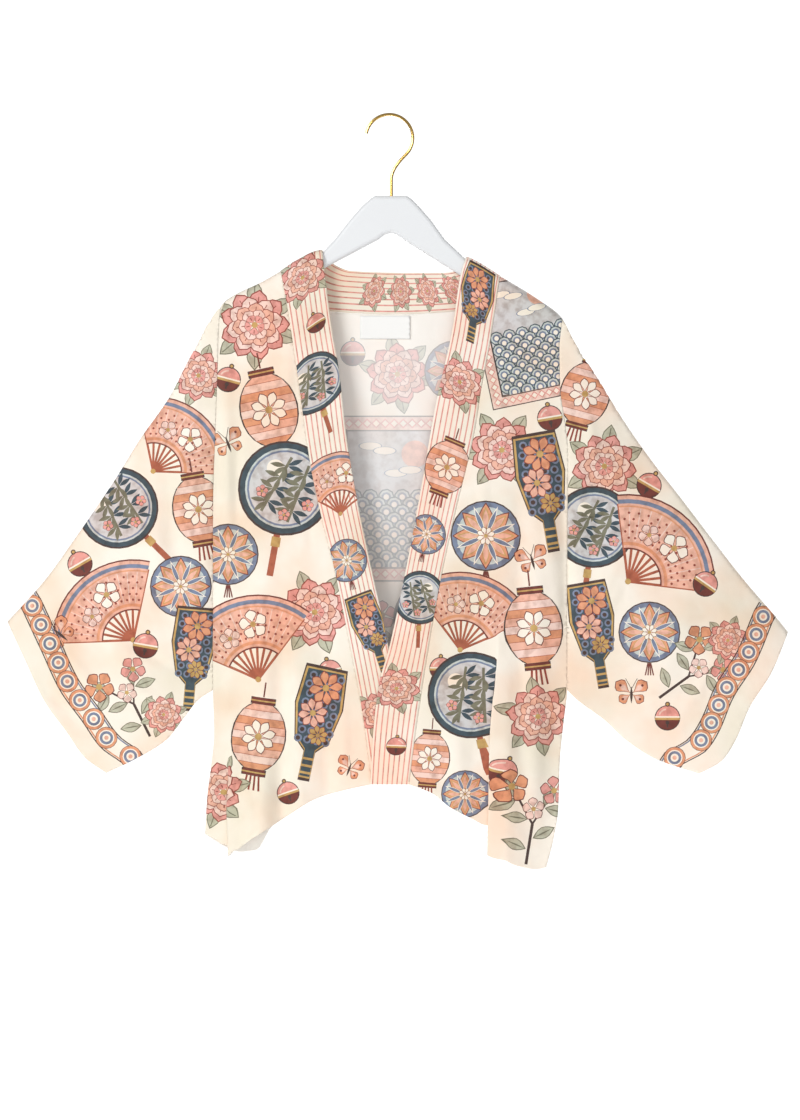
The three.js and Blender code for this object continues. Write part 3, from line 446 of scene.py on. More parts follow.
# The back
# One width of crepe from the shoulder line to the hem, scooped at the neck. It hangs from the
# hanger in soft folds and is sewn to the fronts and sleeves along its sides.
# Places and sizes are in mm. An outline or a depth is rows of (place, value), a hem rows of (x, z).
SEAM_GAP = 0.1
CREPE_THICK = 0.6
GRID, EVEN_ROWS = 4.0, 0.87
CUT_JOINED = 1e-4
NECK_LEFT, NECK_RIGHT = -137.5, 136
BAND_TOP_LEFT, BAND_TOP_RIGHT = -86, 94
UNDERARM = -717.5
SHOULDER_ROUND = 10
SIDE_BLEND = 80
FOLD_NEEDS_DEPTH = 8
FOLD_FULLNESS = 1.35
SHOULDER = [(-225, -255), (-207, -231.5), (-158, -206), (NECK_LEFT, -194), (-119, -181.5),
            (BAND_TOP_LEFT, -168), (BAND_TOP_RIGHT, -176.5), (106, -181.5), (NECK_RIGHT, -200),
            (186, -231), (214, -253), (227, -280)]
LEFT_SIDE = [(-231.5, -207), (-254, -214), (-327, -216.5), (-372, -218), (-492, -222),
             (UNDERARM, -222.5), (-770, -221), (-805, -224), (-855, -230), (-897.5, -232.5)]
RIGHT_SIDE = [(-253, 214), (-291, 210), (-341, 211), (-384, 217), (-420, 220.5), (-605, 220),
              (UNDERARM, 220), (-755, 216), (-805, 211), (-866, 209), (-904, 203), (-939, 194)]
MIDDLE_DEPTH = [(-168, 9), (-250, 10.5), (-350, 14), (-500, 17), (-650, 18), (-800, 17),
                (-950, 16)]
SIDE_DEPTH = [(-231, 8.5), (-300, 9.5), (-450, 11.5), (-600, 10), (-680, 5), (UNDERARM, 0.6),
              (-950, 0.6)]
BACK_NECK_SEAM = [(NECK_LEFT, -194), (-124, -220), (-104, -237), (-75, -244), (0, -247.5),
                  (78, -244), (104, -238), (123, -223), (NECK_RIGHT, -200)]
HEM_BACK = [(-232.5, -897.5), (-207, -914), (-188, -921), (-169, -919), (-150, -890),
            (-110, -860), (-60, -836), (0, -827), (60, -836), (110, -862), (150, -902),
            (176, -934), (194, -939)]
# Soft folds: start, end, half width, height (below 0 a trough), share of its length where full
BACK_FOLDS = [
    (-176, -430, -178, -930, 13, 4, 1),
    (-140, -380, -136, -900, 14, -4, 0.8),
    (-90, -520, -84, -860, 16, 4, 1),
    (-10, -330, -4, -850, 20, -4, 0.6),
    (76, -480, 82, -860, 16, 4, 1),
    (126, -420, 130, -900, 14, -4, 0.8),
    (172, -450, 170, -940, 13, 4, 1),
    (-230, -660, -340, -500, 15, 3, 0.3),
    (-270, -720, -300, -430, 16, -3.5, 0.5),
    (230, -660, 340, -510, 15, 3, 0.3),
    (266, -710, 290, -420, 16, -3.5, 0.5),
    (-216, -290, -222, -700, 9, -4, 0.8),
    (214, -320, 221, -700, 9, -4, 0.8),
    (-205, -300, -212, -560, 8, 2, 0.6),
    (-60, -300, -54, -560, 7, 1.6, 0.6),
    (40, -310, 44, -640, 8, -1.8, 0.7),
    (204, -320, 208, -600, 8, 2, 0.7),
    (-236, -690, -310, -560, 7, 2, 0.5),
    (-330, -770, -420, -640, 8, 2, 0.5),
    (240, -690, 318, -570, 7, 2, 0.5),
    (340, -770, 424, -650, 8, 2, 0.5),
]


def smooth(value):
    """A step from 0 to 1 that starts and ends softly."""
    t = np.clip(value, 0, 1)
    return t * t * (3 - 2 * t)


def curve(rows):
    """A smooth line through rows of (place, value) that never swings past them."""
    at, value = np.array(sorted(rows), float).T
    rise = np.diff(value) / np.diff(at)
    product = rise[:-1] * rise[1:]
    total = np.where(product > 0, rise[:-1] + rise[1:], 1)
    inner = np.where(product > 0, 2 * product / total, 0)
    slope = np.concatenate([rise[:1], inner, rise[-1:]])

    def line(place):
        place = np.clip(place, at[0], at[-1])
        i = np.clip(np.searchsorted(at, place, side="right") - 1, 0, len(at) - 2)
        span = at[i + 1] - at[i]
        t = (place - at[i]) / span
        return (value[i] * (1 + 2 * t) * (1 - t) ** 2 + slope[i] * span * t * (1 - t) ** 2
                + value[i + 1] * t * t * (3 - 2 * t) - slope[i + 1] * span * t * t * (1 - t))

    return line


shoulder = curve(SHOULDER)
left_side = curve(LEFT_SIDE)
right_side = curve(RIGHT_SIDE)
middle_depth = curve(MIDDLE_DEPTH)
side_depth = curve(SIDE_DEPTH)
back_neck = curve(BACK_NECK_SEAM)
back_hem = curve(HEM_BACK)


def rounded(distance, radius):
    """Share of the full depth at a distance inside a rounded fold."""
    return np.sqrt(1 - (1 - np.clip(distance / radius, 0, 1)) ** 2)


def body_depth(x, z):
    """Half depth of the hanging body at a place seen from the front."""
    inward = np.where(x < 0, x - left_side(z), right_side(z) - x)
    flat = mix(side_depth(z), middle_depth(z), smooth(inward / SIDE_BLEND))
    return flat * rounded(shoulder(x) - z, SHOULDER_ROUND)


def fold_height(folds, x, z):
    """How far the folds near a place stand out from the even cloth."""
    total = 0
    for x0, z0, x1, z1, wide, high, full in folds:
        run_x, run_z = x1 - x0, z1 - z0
        t = np.clip(((x - x0) * run_x + (z - z0) * run_z) / (run_x ** 2 + run_z ** 2), 0, 1)
        away = np.hypot(x - x0 - t * run_x, z - z0 - t * run_z) / wide
        fading = smooth((1 - t) / max(1 - full, 0.001))
        total = total + high * np.where(t <= full, smooth(t / full), fading) * np.exp(-away ** 2)
    return total


def with_folds(depth, folds, x, z):
    """A depth with its folds, which die away where the cloth lies flat on itself."""
    reach = FOLD_FULLNESS * np.clip(depth / FOLD_NEEDS_DEPTH, 0, 1)
    return depth + fold_height(folds, x, z) * reach


def back_y(x, z):
    return SEAM_GAP / 2 + with_folds(body_depth(x, z), BACK_FOLDS, x, z)


def edge_points(start, end, height, step=GRID):
    """Points along an edge that is given as a height over x."""
    x = np.linspace(start, end, max(2, round(abs(end - start) / step)) + 1)
    return list(zip(x, height(x)))


def side_points(top, bottom, side, inward, step=GRID):
    """Points down or up a side that is given as a place over the height."""
    z = np.linspace(top, bottom, round(abs(top - bottom) / step) + 1)
    return list(zip(side(z) + inward, z))


def points_under(line, start, end, distances, step=GRID):
    """Rows of points close under a rounded fold."""
    x = np.arange(start, end, step)
    return [(place, line(place) - away) for away in distances for place in x]


# Distances below the shoulder, closer together where the cloth turns over most sharply.
UNDER_SHOULDER = (0.05, 0.25, 0.7, 1.4, 2.4, 3.8, 5.6, 8)


def covers(shape, places):
    """Which places lie inside a shape."""
    x, z = places.T
    (ax, az), (bx, bz) = shape.T[:, :, None], np.roll(shape, -1, axis=0).T[:, :, None]
    crossed = (az > z) != (bz > z)
    at = ax + (z - az) * (bx - ax) / np.where(crossed, bz - az, 1)
    return (crossed & (x < at)).sum(axis=0) % 2 == 1


def cut_cloth(outline, stamps, extra=(), grid=GRID):
    """Cuts a panel out of the printed cloth: its flat points, its triangles and their inks."""
    outline = anticlockwise(np.array(outline))
    low, high = outline.min(0), outline.max(0)
    rows = np.arange(low[1] + grid / 2, high[1], grid * EVEN_ROWS)
    columns = np.arange(low[0] + grid / 2, high[0], grid)
    inner = [(x + grid / 2 * (j % 2), z) for j, z in enumerate(rows) for x in columns]
    drawn = {(x // grid, z // grid) for _, corners, _ in stamps for x, z in corners}
    inner = [(x, z) for x, z in inner if (x // grid, z // grid) not in drawn]
    points, edges = [*map(tuple, outline), *inner, *extra], []
    for _, corners, links in stamps:
        edges += (links + len(points)).tolist()
        points += corners.tolist()
    flat, _, triangles, _, _, sources = delaunay_2d_cdt(
        [Vector(p) for p in points], edges, [list(range(len(outline)))], 1, CUT_JOINED)
    flat = np.array([tuple(p) for p in flat])
    triangles = np.array([t for t, source in zip(triangles, sources) if source])
    middle = flat[triangles].mean(axis=1)
    ink = np.zeros(len(triangles), int)
    for shapes, corners, _ in stamps:
        near = np.all((middle > corners.min(0)) & (middle < corners.max(0)), axis=1).nonzero()[0]
        for name, shape in shapes:
            around = near[np.all((middle[near] > shape.min(0)) & (middle[near] < shape.max(0)),
                                 axis=1)]
            ink[around[covers(shape, middle[around])]] = INK_ORDER.index(name)
    return flat, triangles, ink


def hang_cloth(name, cut, form, outward, thick=CREPE_THICK, reverse_paled_and_lit=1.0):
    """Hangs a cut panel: a thin closed shell on its form, with its reverse marked, which the crepe
    paints paler, partly as painted light let through the cloth.
    """
    flat, triangles, ink = cut
    used, triangles = np.unique(triangles, return_inverse=True)
    triangles = triangles.reshape(-1, 3)
    middle = np.stack(form(*flat[used].T), axis=1)
    if outward > 0:
        triangles = triangles[:, ::-1]
    a, b, c = (middle[triangles[:, k]] for k in range(3))
    normal = np.zeros_like(middle)
    for k in range(3):
        np.add.at(normal, triangles[:, k], np.cross(b - a, c - a))
    normal /= np.maximum(np.linalg.norm(normal, axis=1, keepdims=True), 1e-9)
    count = len(middle)
    edges = np.concatenate([triangles[:, [0, 1]], triangles[:, [1, 2]], triangles[:, [2, 0]]])
    _, first, uses = np.unique(np.sort(edges, axis=1), axis=0, return_index=True,
                               return_counts=True)
    rim = edges[first[uses == 1]]
    faces = np.concatenate([
        triangles,
        triangles[:, ::-1] + count,
        np.stack([rim[:, 1], rim[:, 0], rim[:, 0] + count], axis=1),
        np.stack([rim[:, 1], rim[:, 0] + count, rim[:, 1] + count], axis=1),
    ])
    mesh = bpy.data.meshes.new(name)
    shell = np.concatenate([middle + normal * thick / 2, middle - normal * thick / 2]) * MM
    mesh.from_pydata(shell.tolist(), [], faces.tolist())
    for material in CREPE.values():
        mesh.materials.append(material)
    inks = np.concatenate([ink, ink, np.zeros(2 * len(rim), int)])
    mesh.polygons.foreach_set("material_index", inks.astype(np.int32))
    mesh.polygons.foreach_set("use_smooth", np.ones(len(faces), bool))
    inside = mesh.attributes.new("inside", "FLOAT", "POINT")
    inside.data.foreach_set("value", np.repeat([0.0, reverse_paled_and_lit], count).astype(np.float32))
    mesh.update()
    piece = bpy.data.objects.new(name, mesh)
    bpy.context.collection.objects.link(piece)
    return piece


def finish_cloth(piece, node):
    """Hangs the panel from the root body and hides the CAD part it takes the place of."""
    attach(piece, "root")
    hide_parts(node)


def back_form(x, z):
    return x, back_y(x, z), z


half_gap = SEAM_GAP / 2
back_left, back_right = LEFT_SIDE[0][1] + half_gap, RIGHT_SIDE[0][1] - half_gap
back_outline = (
    edge_points(back_left, NECK_LEFT, shoulder)[:-1]
    + edge_points(NECK_LEFT, NECK_RIGHT, back_neck)[:-1]
    + edge_points(NECK_RIGHT, back_right, shoulder)[:-1]
    + side_points(RIGHT_SIDE[0][0], HEM_BACK[-1][1], right_side, -half_gap)[:-1]
    + edge_points(HEM_BACK[-1][0] - half_gap, HEM_BACK[0][0] + half_gap, back_hem)[:-1]
    + side_points(HEM_BACK[0][1], LEFT_SIDE[0][0], left_side, half_gap)[:-1]
)
back_extra = (points_under(shoulder, back_left + 1, NECK_LEFT, UNDER_SHOULDER)
              + points_under(shoulder, NECK_RIGHT, back_right, UNDER_SHOULDER))
BACK_PRINT = [
    (peony, -165, -270, 54, 0), (lantern, -100, -330, 59, 10), (bell, -48, -296, 20, 0),
    (peony, 8, -322, 50, 30), (thread_ball, 80, -318, 48, 0), (folding_fan, 160, -290, 63, -10),
    (round_fan, -180, -405, 75, 8), (wave_screen, 4, -478, 100, 0), (lantern, 132, -420, 64, -8),
    (butterfly, 195, -405, 26, 0), (folding_fan, -128, -520, 60, 10), (paddle, 190, -505, 73, 8),
    (bell, 112, -512, 20, 15), (thread_ball, -195, -590, 51, 0), (peony, 135, -595, 54, 15),
    (lantern, -125, -645, 64, -6), (sprig, -45, -650, 62, 0), (round_fan, 50, -650, 71, -10),
    (bell, -82, -560, 18, -10), (paddle, -190, -715, 71, 10), (peony, 190, -685, 50, 50),
    (folding_fan, 112, -745, 63, 12), (thread_ball, -25, -752, 51, 0), (peony, -112, -765, 52, 20),
    (butterfly, 42, -795, 24, 10), (lantern, 182, -810, 64, 10), (folding_fan, -190, -850, 58, -10),
    (bell, -58, -808, 18, 0), (peony, 98, -830, 39, 0), (sprig, 165, -893, 46, 0),
]
back = hang_cloth("back_panel", cut_cloth(back_outline, placed(BACK_PRINT), back_extra),
                  back_form, 1)
finish_cloth(back, "back")


# The fronts
# Two panels of the same crepe from the shoulder to the hem. Each has a loose fold that laps over
# itself towards the hem, so there the cloth runs back under itself in an S.
LAP_LIFT, LAP_START, LAP_FULL, LAP_FROM, LAP_TO = 4, -590, -660, 30, 120
FRONT_GRID, HEM_STEP = 3.5, 2
BAND_HEM = -834
BAND_SEAM_LEFT = [(-194, NECK_LEFT), (-250, -127.5), (-317, -117.5), (-435, -100.5),
                  (-491, -89), (-555, -73), (-669, -49.5), (-742, -36), (BAND_HEM, -23)]
BAND_SEAM_RIGHT = [(-200, NECK_RIGHT), (-289, 122.5), (-338, 113), (-395, 104), (-496, 80),
                   (-579, 62), (-674, 45), (-774, 30), (BAND_HEM, 22.5)]
HEM_LEFT = [(-232.5, -897.5), (-215, -907), (-203, -916), (-196, -925), (-190, -916),
            (-177, -905), (-137, -879), (-95, -853), (-56, -841), (-23, BAND_HEM)]
HEM_RIGHT = [(22.5, BAND_HEM), (51, -845), (73, -862), (106, -880), (121, -890), (134, -921),
             (157, -936), (182, -941), (194, -939)]
FRONT_FOLDS = [
    (-190, -500, -186, -930, 11, -4, 1),
    (-165, -420, -160, -920, 13, 4, 1),
    (-140, -470, -136, -900, 11, -4, 1),
    (-118, -560, -112, -880, 12, 3.5, 1),
    (-92, -520, -78, -860, 11, -3.5, 1),
    (80, -620, 84, -880, 15, 3.5, 1),
    (158, -330, 160, -930, 12, -4, 0.7),
    (186, -360, 184, -930, 12, 3.5, 0.8),
    (-228, -660, -330, -470, 14, 3, 0.3),
    (-262, -640, -282, -400, 14, -3.5, 0.5),
    (-300, -760, -380, -560, 18, 3, 0.5),
    (228, -650, 330, -480, 14, 3, 0.3),
    (252, -600, 262, -400, 14, -3.5, 0.5),
    (310, -770, 390, -570, 18, 3, 0.5),
    (-216, -290, -222, -700, 9, -4, 0.8),
    (214, -320, 221, -700, 9, -5, 0.8),
    (-204, -290, -206, -540, 7, 2.2, 0.6),
    (-190, -330, -192, -560, 6, -1.8, 0.7),
    (-126, -250, -132, -420, 7, 1.5, 0.6),
    (-104, -400, -100, -560, 6, -1.4, 0.7),
    (-60, -700, -58, -830, 7, 1.6, 0.8),
    (196, -330, 199, -600, 7, 2.4, 0.7),
    (146, -540, 149, -800, 6, -1.6, 0.8),
    (118, -400, 112, -600, 7, 1.5, 0.6),
    (60, -700, 62, -850, 7, -1.6, 0.8),
    (-232, -690, -304, -556, 6, 2, 0.5),
    (-240, -712, -350, -640, 6, -2, 0.5),
    (-234, -300, -258, -430, 8, 2, 0.6),
    (-244, -330, -300, -470, 7, -1.6, 0.5),
    (-334, -770, -424, -640, 8, 2.2, 0.5),
    (-372, -784, -442, -700, 7, -1.8, 0.6),
    (-262, -736, -362, -704, 6, 1.6, 0.5),
    (232, -690, 300, -560, 6, 2.2, 0.5),
    (242, -708, 356, -650, 6, -2, 0.5),
    (238, -330, 262, -470, 8, 2.4, 0.6),
    (246, -520, 262, -660, 8, -2.6, 0.6),
    (344, -770, 430, -650, 8, 2.2, 0.5),
    (386, -790, 458, -690, 7, -1.8, 0.6),
    (268, -740, 370, -716, 6, 1.6, 0.5),
]
FOLD_SPREAD = 90


def front_y(x, z):
    return -SEAM_GAP / 2 - with_folds(body_depth(x, z), FRONT_FOLDS, x, z)


def lap_lift(x, z):
    """How far the right front stands in front of the left one where they lap."""
    down = smooth((LAP_START - z) / (LAP_START - LAP_FULL))
    return LAP_LIFT * down * (1 - smooth((x - LAP_FROM) / (LAP_TO - LAP_FROM)))


class LappedFold:
    """A loose fold: its line, half width, lap, rise, and the heights where it starts and is full.
    The flat cloth is wider by two laps, on the side of the fold away from the neckband."""

    def __init__(self, line, half, lap, rise, start, full, widens_right):
        self.line = curve(line)
        self.half, self.lap, self.rise = half, lap, rise
        self.start, self.full = start, full
        self.widens_right = widens_right

    def strength(self, z):
        return smooth((self.start - z) / (self.start - self.full))

    def shifts(self, z):
        extra = 2 * self.lap * self.strength(z)
        return (0, extra) if self.widens_right else (-extra, 0)

    def lay_flat(self, shape, about=None):
        """Where a shape seen on the hung cloth lies in the flat cloth. A stamp isn't stretched by
        the fold: it lies whole on the side that its middle is on, and partly turns under."""
        x, z = shape.T
        left, right = self.shifts(z)
        if about is None:
            share = np.clip((x - self.line(z) + self.half) / (2 * self.half), 0, 1)
        else:
            share = float(about[0] > self.line(about[1]))
        return np.stack([x + mix(left, right, share), z], axis=1)

    def hang(self, flat_x, z):
        """Base place, turn through the fold from 0 to 1, and the place once it is lapped."""
        left, right = self.shifts(z)
        middle, strength = self.line(z), self.strength(z)
        start = middle - self.half + left
        turn = np.clip((flat_x - start) / (2 * self.half + right - left), 0, 1)
        base = np.where(turn <= 0, flat_x - left,
                        np.where(turn >= 1, flat_x - right, middle + self.half * (2 * turn - 1)))
        lapped = base - strength * self.lap * np.sin(math.pi * (2 * turn - 1))
        fade = 1 - smooth(np.maximum(0, base - middle) / FOLD_SPREAD)
        return base, lapped, strength * self.rise * turn * fade


LEFT_LAP = LappedFold([(-225, -190), (-720, -204), (-805, -203), (-925, -199)], half=10, lap=8.5,
                      rise=7, start=-760, full=-880, widens_right=False)
RIGHT_LAP = LappedFold([(-225, 176), (-600, 134), (-760, 131), (-925, 128)], half=15, lap=15,
                       rise=8, start=-600, full=-790, widens_right=True)


def front_form(lap, lifted):
    """Where the flat cloth of a front hangs; the lifted one lies over the other."""
    def form(flat_x, z):
        base, lapped, rise = lap.hang(flat_x, z)
        y = front_y(base, z) - rise - (lap_lift(base, z) if lifted else 0)
        return lapped, y, z

    return form


LEFT_PRINT = [
    (peony, -170, -262, 56, 20), (bell, -203, -330, 20, -15), (lantern, -152, -368, 66, 12),
    (butterfly, -203, -410, 24, 20), (round_fan, -136, -490, 82, -10),
    (thread_ball, -203, -548, 48, 0), (peony, -95, -620, 54, 40), (folding_fan, -178, -655, 63, 15),
    (bell, -76, -694, 19, 15), (paddle, -94, -758, 73, -12), (lantern, -165, -775, 62, -8),
    (peony, -210, -845, 48, 0), (bell, -128, -845, 18, 20), (butterfly, -52, -815, 20, -20),
]
RIGHT_PRINT = [
    (wave_screen, 172, -272, 82, 12), (bell, 198, -378, 20, 10), (peony, 138, -418, 52, -15),
    (paddle, 190, -470, 76, 10), (thread_ball, 118, -525, 55, 0), (butterfly, 176, -556, 24, 15),
    (folding_fan, 98, -622, 58, -15), (lantern, 178, -640, 66, 6), (bell, 62, -690, 18, 0),
    (round_fan, 104, -745, 75, 12), (peony, 183, -750, 50, 30), (lantern, 48, -802, 46, -5),
    (bell, 142, -818, 20, -20), (thread_ball, 92, -846, 37, 0), (sprig, 172, -872, 62, 5),
]


def make_front(name, facing, fold, seam, hem, side, layout):
    """Cuts a front from the shoulder round by the neckband and the hem; facing is -1 for left."""
    inner, outer = (hem[0], hem[-1]) if facing > 0 else (hem[-1], hem[0])
    gap = facing * half_gap
    top_x, neck_x = side[0][1], seam[0][1]
    seen = (edge_points(top_x - gap, neck_x + gap, shoulder)[:-1]
            + side_points(seam[0][0], BAND_HEM, curve(seam), gap)[:-1]
            + edge_points(inner[0] + gap, outer[0] - gap, curve(hem), HEM_STEP)[:-1]
            + side_points(outer[1], side[0][0], curve(side), -gap)[:-1])
    ends = sorted((top_x - gap - facing, neck_x + facing))
    cut = cut_cloth(fold.lay_flat(np.array(seen)), placed(layout, fold.lay_flat),
                    points_under(shoulder, *ends, UNDER_SHOULDER), FRONT_GRID)
    return hang_cloth(name, cut, front_form(fold, facing > 0), -1)


front_left = make_front("left_front", -1, LEFT_LAP, BAND_SEAM_LEFT, HEM_LEFT, LEFT_SIDE, LEFT_PRINT)
finish_cloth(front_left, "front_left")
front_right = make_front("right_front", 1, RIGHT_LAP, BAND_SEAM_RIGHT, HEM_RIGHT, RIGHT_SIDE,
                         RIGHT_PRINT)
finish_cloth(front_right, "front_right")


# The sleeves
# Each is one piece of crepe folded along its top and sewn along its bottom into a wide flat
# tube, set into the armhole and open at the cuff.
# The top fold slopes, so its rounding goes by 0.7 of the height below it.
SLEEVE_FOLD_ROUND, TOP_SLOPE = 4, 0.7
ARMHOLE_BLEND = 0.35
TOP_LEAST, BOTTOM_LEAST = 3, 0.4
BELLY_ROUND = 0.8
SLEEVE_DEPTH = [(0, 10), (0.35, 10), (0.7, 9), (1, 10)]
LEFT_SLEEVE = {
    "top": [(-207, -231.5), (-225, -255.5), (-252, -305), (-279, -355), (-314, -405),
            (-345, -455), (-396, -530), (-432, -580), (-454, -605), (-479, -632)],
    "bottom": [(-222.5, UNDERARM), (-241, -730), (-260, -754), (-281, -780), (-320, -804),
               (-356, -821)],
    "cuff": [(-632, -479), (-680, -456), (-731, -432), (-769, -405), (-802, -382), (-821, -356)],
}
RIGHT_SLEEVE = {
    "top": [(214, -253), (227, -280), (259, -330), (290, -380), (325, -430), (364, -480),
            (402, -530), (441, -580), (484, -630), (496, -645)],
    "bottom": [(220, UNDERARM), (233, -730), (267, -755), (294, -780), (332, -804),
               (385, -822)],
    "cuff": [(-645, 496), (-696, 474), (-739, 447), (-780, 430), (-806, 413), (-822, 385)],
}
# Distances from the top fold: what is kept clear of it, and rows of points on both sides
FOLD_EDGE = 0.05
UNDER_TOP = (0.2, 0.6, 1.2, 2.2, 3.6, 5.4, 8)
BORDER_INSIDE, BORDER_WIDE, BORDER_RINGS, PAST_CUFF = 22, 30, 9, 0.06
LEFT_SLEEVE_PRINT = [
    (peony, -240, -325, 41, 0), (folding_fan, -268, -410, 56, -40), (lantern, -240, -492, 59, 10),
    (round_fan, -326, -505, 71, 45), (thread_ball, -262, -588, 48, 0), (bell, -388, -560, 20, 30),
    (folding_fan, -352, -618, 60, 40), (paddle, -248, -678, 66, -5), (bell, -306, -662, 20, -10),
    (sprig, -330, -728, 55, 40), (butterfly, -412, -648, 24, 50), (peony, -284, -748, 30, 0),
]
RIGHT_SLEEVE_PRINT = [
    (lantern, 242, -348, 57, -15), (peony, 266, -438, 52, 10), (round_fan, 250, -535, 71, -8),
    (bell, 322, -462, 20, -30), (folding_fan, 332, -545, 65, -45), (paddle, 254, -648, 68, 10),
    (thread_ball, 322, -645, 48, 0), (bell, 392, -585, 20, -35), (sprig, 376, -690, 55, -40),
    (butterfly, 300, -722, 24, 0), (bell, 345, -752, 20, 0), (peony, 420, -655, 32, 0),
]
sleeve_depth = curve(SLEEVE_DEPTH)


class Sleeve:
    """A sleeve laid flat and open along its bottom seam: what lies above the top fold is its back."""

    def __init__(self, shape, side, armhole_top, outward):
        self.top = curve(shape["top"])
        self.bottom = curve(shape["bottom"])
        self.cuff = curve(shape["cuff"])
        self.shape, self.side, self.outward, self.armhole_top = shape, side, outward, armhole_top

    def place(self, x, flat_z):
        """The height on the hung sleeve, and which face of it this is."""
        top = self.top(x)
        behind = flat_z > top
        return np.where(behind, 2 * top - flat_z, flat_z), np.where(behind, 1, -1)

    def form(self, x, flat_z):
        z, facing = self.place(x, flat_z)
        below_top = np.maximum(self.top(x) - z, 0)
        above_bottom = np.maximum(z - self.bottom(x), 0)
        down = below_top / np.maximum(below_top + above_bottom, 1e-6)
        from_arm = np.maximum(self.outward * (x - self.side(z)), 0)
        to_cuff = np.maximum(self.outward * (self.cuff(z) - x), 0)
        along = from_arm / np.maximum(from_arm + to_cuff, 1e-6)
        belly = sleeve_depth(along) * np.sin(math.pi * down) ** BELLY_ROUND
        least = mix(TOP_LEAST, BOTTOM_LEAST, down)
        own = (least + belly) * rounded(below_top * TOP_SLOPE, SLEEVE_FOLD_ROUND)
        seam_x = self.side(z)
        flat = mix(body_depth(seam_x, z), own, smooth(along / ARMHOLE_BLEND))
        front = with_folds(flat, FRONT_FOLDS, x, z)
        behind = with_folds(flat, BACK_FOLDS, x, z)
        deep = np.where(facing < 0, front, behind) + half_gap * np.clip(flat, 0, 1)
        return x, facing * deep, z

    def behind(self, shape, about=None):
        """Turns a shape seen on the back of the sleeve to where it lies in the flat cloth. It
        needs no middle, because what crosses the top fold is cut off there."""
        x, z = shape.T
        return np.stack([x, 2 * self.top(x) - np.minimum(z, self.top(x) - FOLD_EDGE)], axis=1)

    def border(self, lay_flat=None):
        """A printed chain inside the edge of the cuff."""
        tip, foot = self.shape["cuff"][0], self.shape["cuff"][-1]
        run = np.array([foot[1] - tip[1], foot[0] - tip[0]]) / math.dist(foot, tip)
        inward = np.array([-run[1], run[0]]) * -self.outward
        inward *= np.sign(inward[1])

        def line(share):
            z = mix(tip[0], foot[0], share)
            past = share - np.clip(share, 0, 1)
            return np.array([self.cuff(z) + past * (foot[1] - tip[1]), z]) + inward * BORDER_INSIDE

        chain = chain_border(line, -PAST_CUFF, 1 + PAST_CUFF, BORDER_RINGS, BORDER_WIDE, inward)
        return [stamp(chain, lay_flat)]

    def outline(self):
        """The front face from the armhole down, out to the cuff and up, the back, and the fold."""
        shift = self.outward * SEAM_GAP
        tip, foot = self.shape["cuff"][0], self.shape["cuff"][-1]
        arm_x = self.side(self.armhole_top) + shift
        front = (side_points(self.armhole_top, UNDERARM, self.side, shift)[:-1]
                 + edge_points(self.shape["bottom"][0][0] + shift, foot[1], self.bottom)[:-1]
                 + side_points(foot[0], tip[0], self.cuff, 0))
        behind = [(x, 2 * self.top(x) - z) for x, z in reversed(front)]
        ridge = edge_points(tip[1], arm_x, self.top)
        return front[1:-1], behind[1:-1], ridge


def mirrored(layout):
    """A layout for the other sleeve's back."""
    return [(motif, -x, z, size, -turn) for motif, x, z, size, turn in layout]


def make_sleeve(name, sleeve, print_in_front, print_behind):
    """Cuts and hangs a sleeve, with its top fold as an edge that no triangle crosses."""
    front, behind, ridge = sleeve.outline()
    outline = [ridge[-1]] + front + [ridge[0]] + behind
    inner = [(x, z + away * side) for x, z in ridge[1:-1]
             for away in UNDER_TOP for side in (-1, 1)]
    along = np.arange(len(ridge) - 1)
    fold = ([], np.array(ridge), np.stack([along, along + 1], axis=1))
    stamps = ([fold] + placed(print_behind, sleeve.behind) + sleeve.border(sleeve.behind)
              + placed(print_in_front) + sleeve.border())
    return hang_cloth(name, cut_cloth(outline, stamps, inner), sleeve.form, -1)


left_sleeve = Sleeve(LEFT_SLEEVE, left_side, LEFT_SIDE[0][0], -1)
right_sleeve = Sleeve(RIGHT_SLEEVE, right_side, RIGHT_SIDE[0][0], 1)
sleeve_left = make_sleeve("left_sleeve", left_sleeve, LEFT_SLEEVE_PRINT,
                          mirrored(RIGHT_SLEEVE_PRINT))
sleeve_right = make_sleeve("right_sleeve", right_sleeve, RIGHT_SLEEVE_PRINT,
                           mirrored(LEFT_SLEEVE_PRINT))
finish_cloth(sleeve_left, "sleeve_left")
finish_cloth(sleeve_right, "sleeve_right")


# The neckband
# A long strip of striped crepe folded double, sewn round the neck and down the front edges to
# the hem. Behind the neck it stands up from the scooped seam of the back.
BAND_THICK = 1.6
BAND_WIDE, BAND_LONG, BACK_BAND_LONG = 48, 680, 300
NEAR_BAND_END = (0.3, 1, 2, 3.5)
BAND_FREE_LEFT = [(-168, BAND_TOP_LEFT), (-202, -82), (-264, -74), (-317, -65), (-411, -54),
                  (-491, -40), (-555, -26.5), (-665, -2.5), (-742, 12), (BAND_HEM, 25)]
BAND_FREE_RIGHT = [(-176.5, BAND_TOP_RIGHT), (-199, 87), (-270, 76), (-360, 56), (-468, 37),
                   (-554, 21), (-665, -2.5), (-705, -14), (-768, -22), (BAND_HEM, -26)]
BACK_NECK_FREE = [(BAND_TOP_LEFT, -168), (-69, -186), (-49, -193), (8, -195), (65, -195),
                  (84, -192), (BAND_TOP_RIGHT, -176.5)]


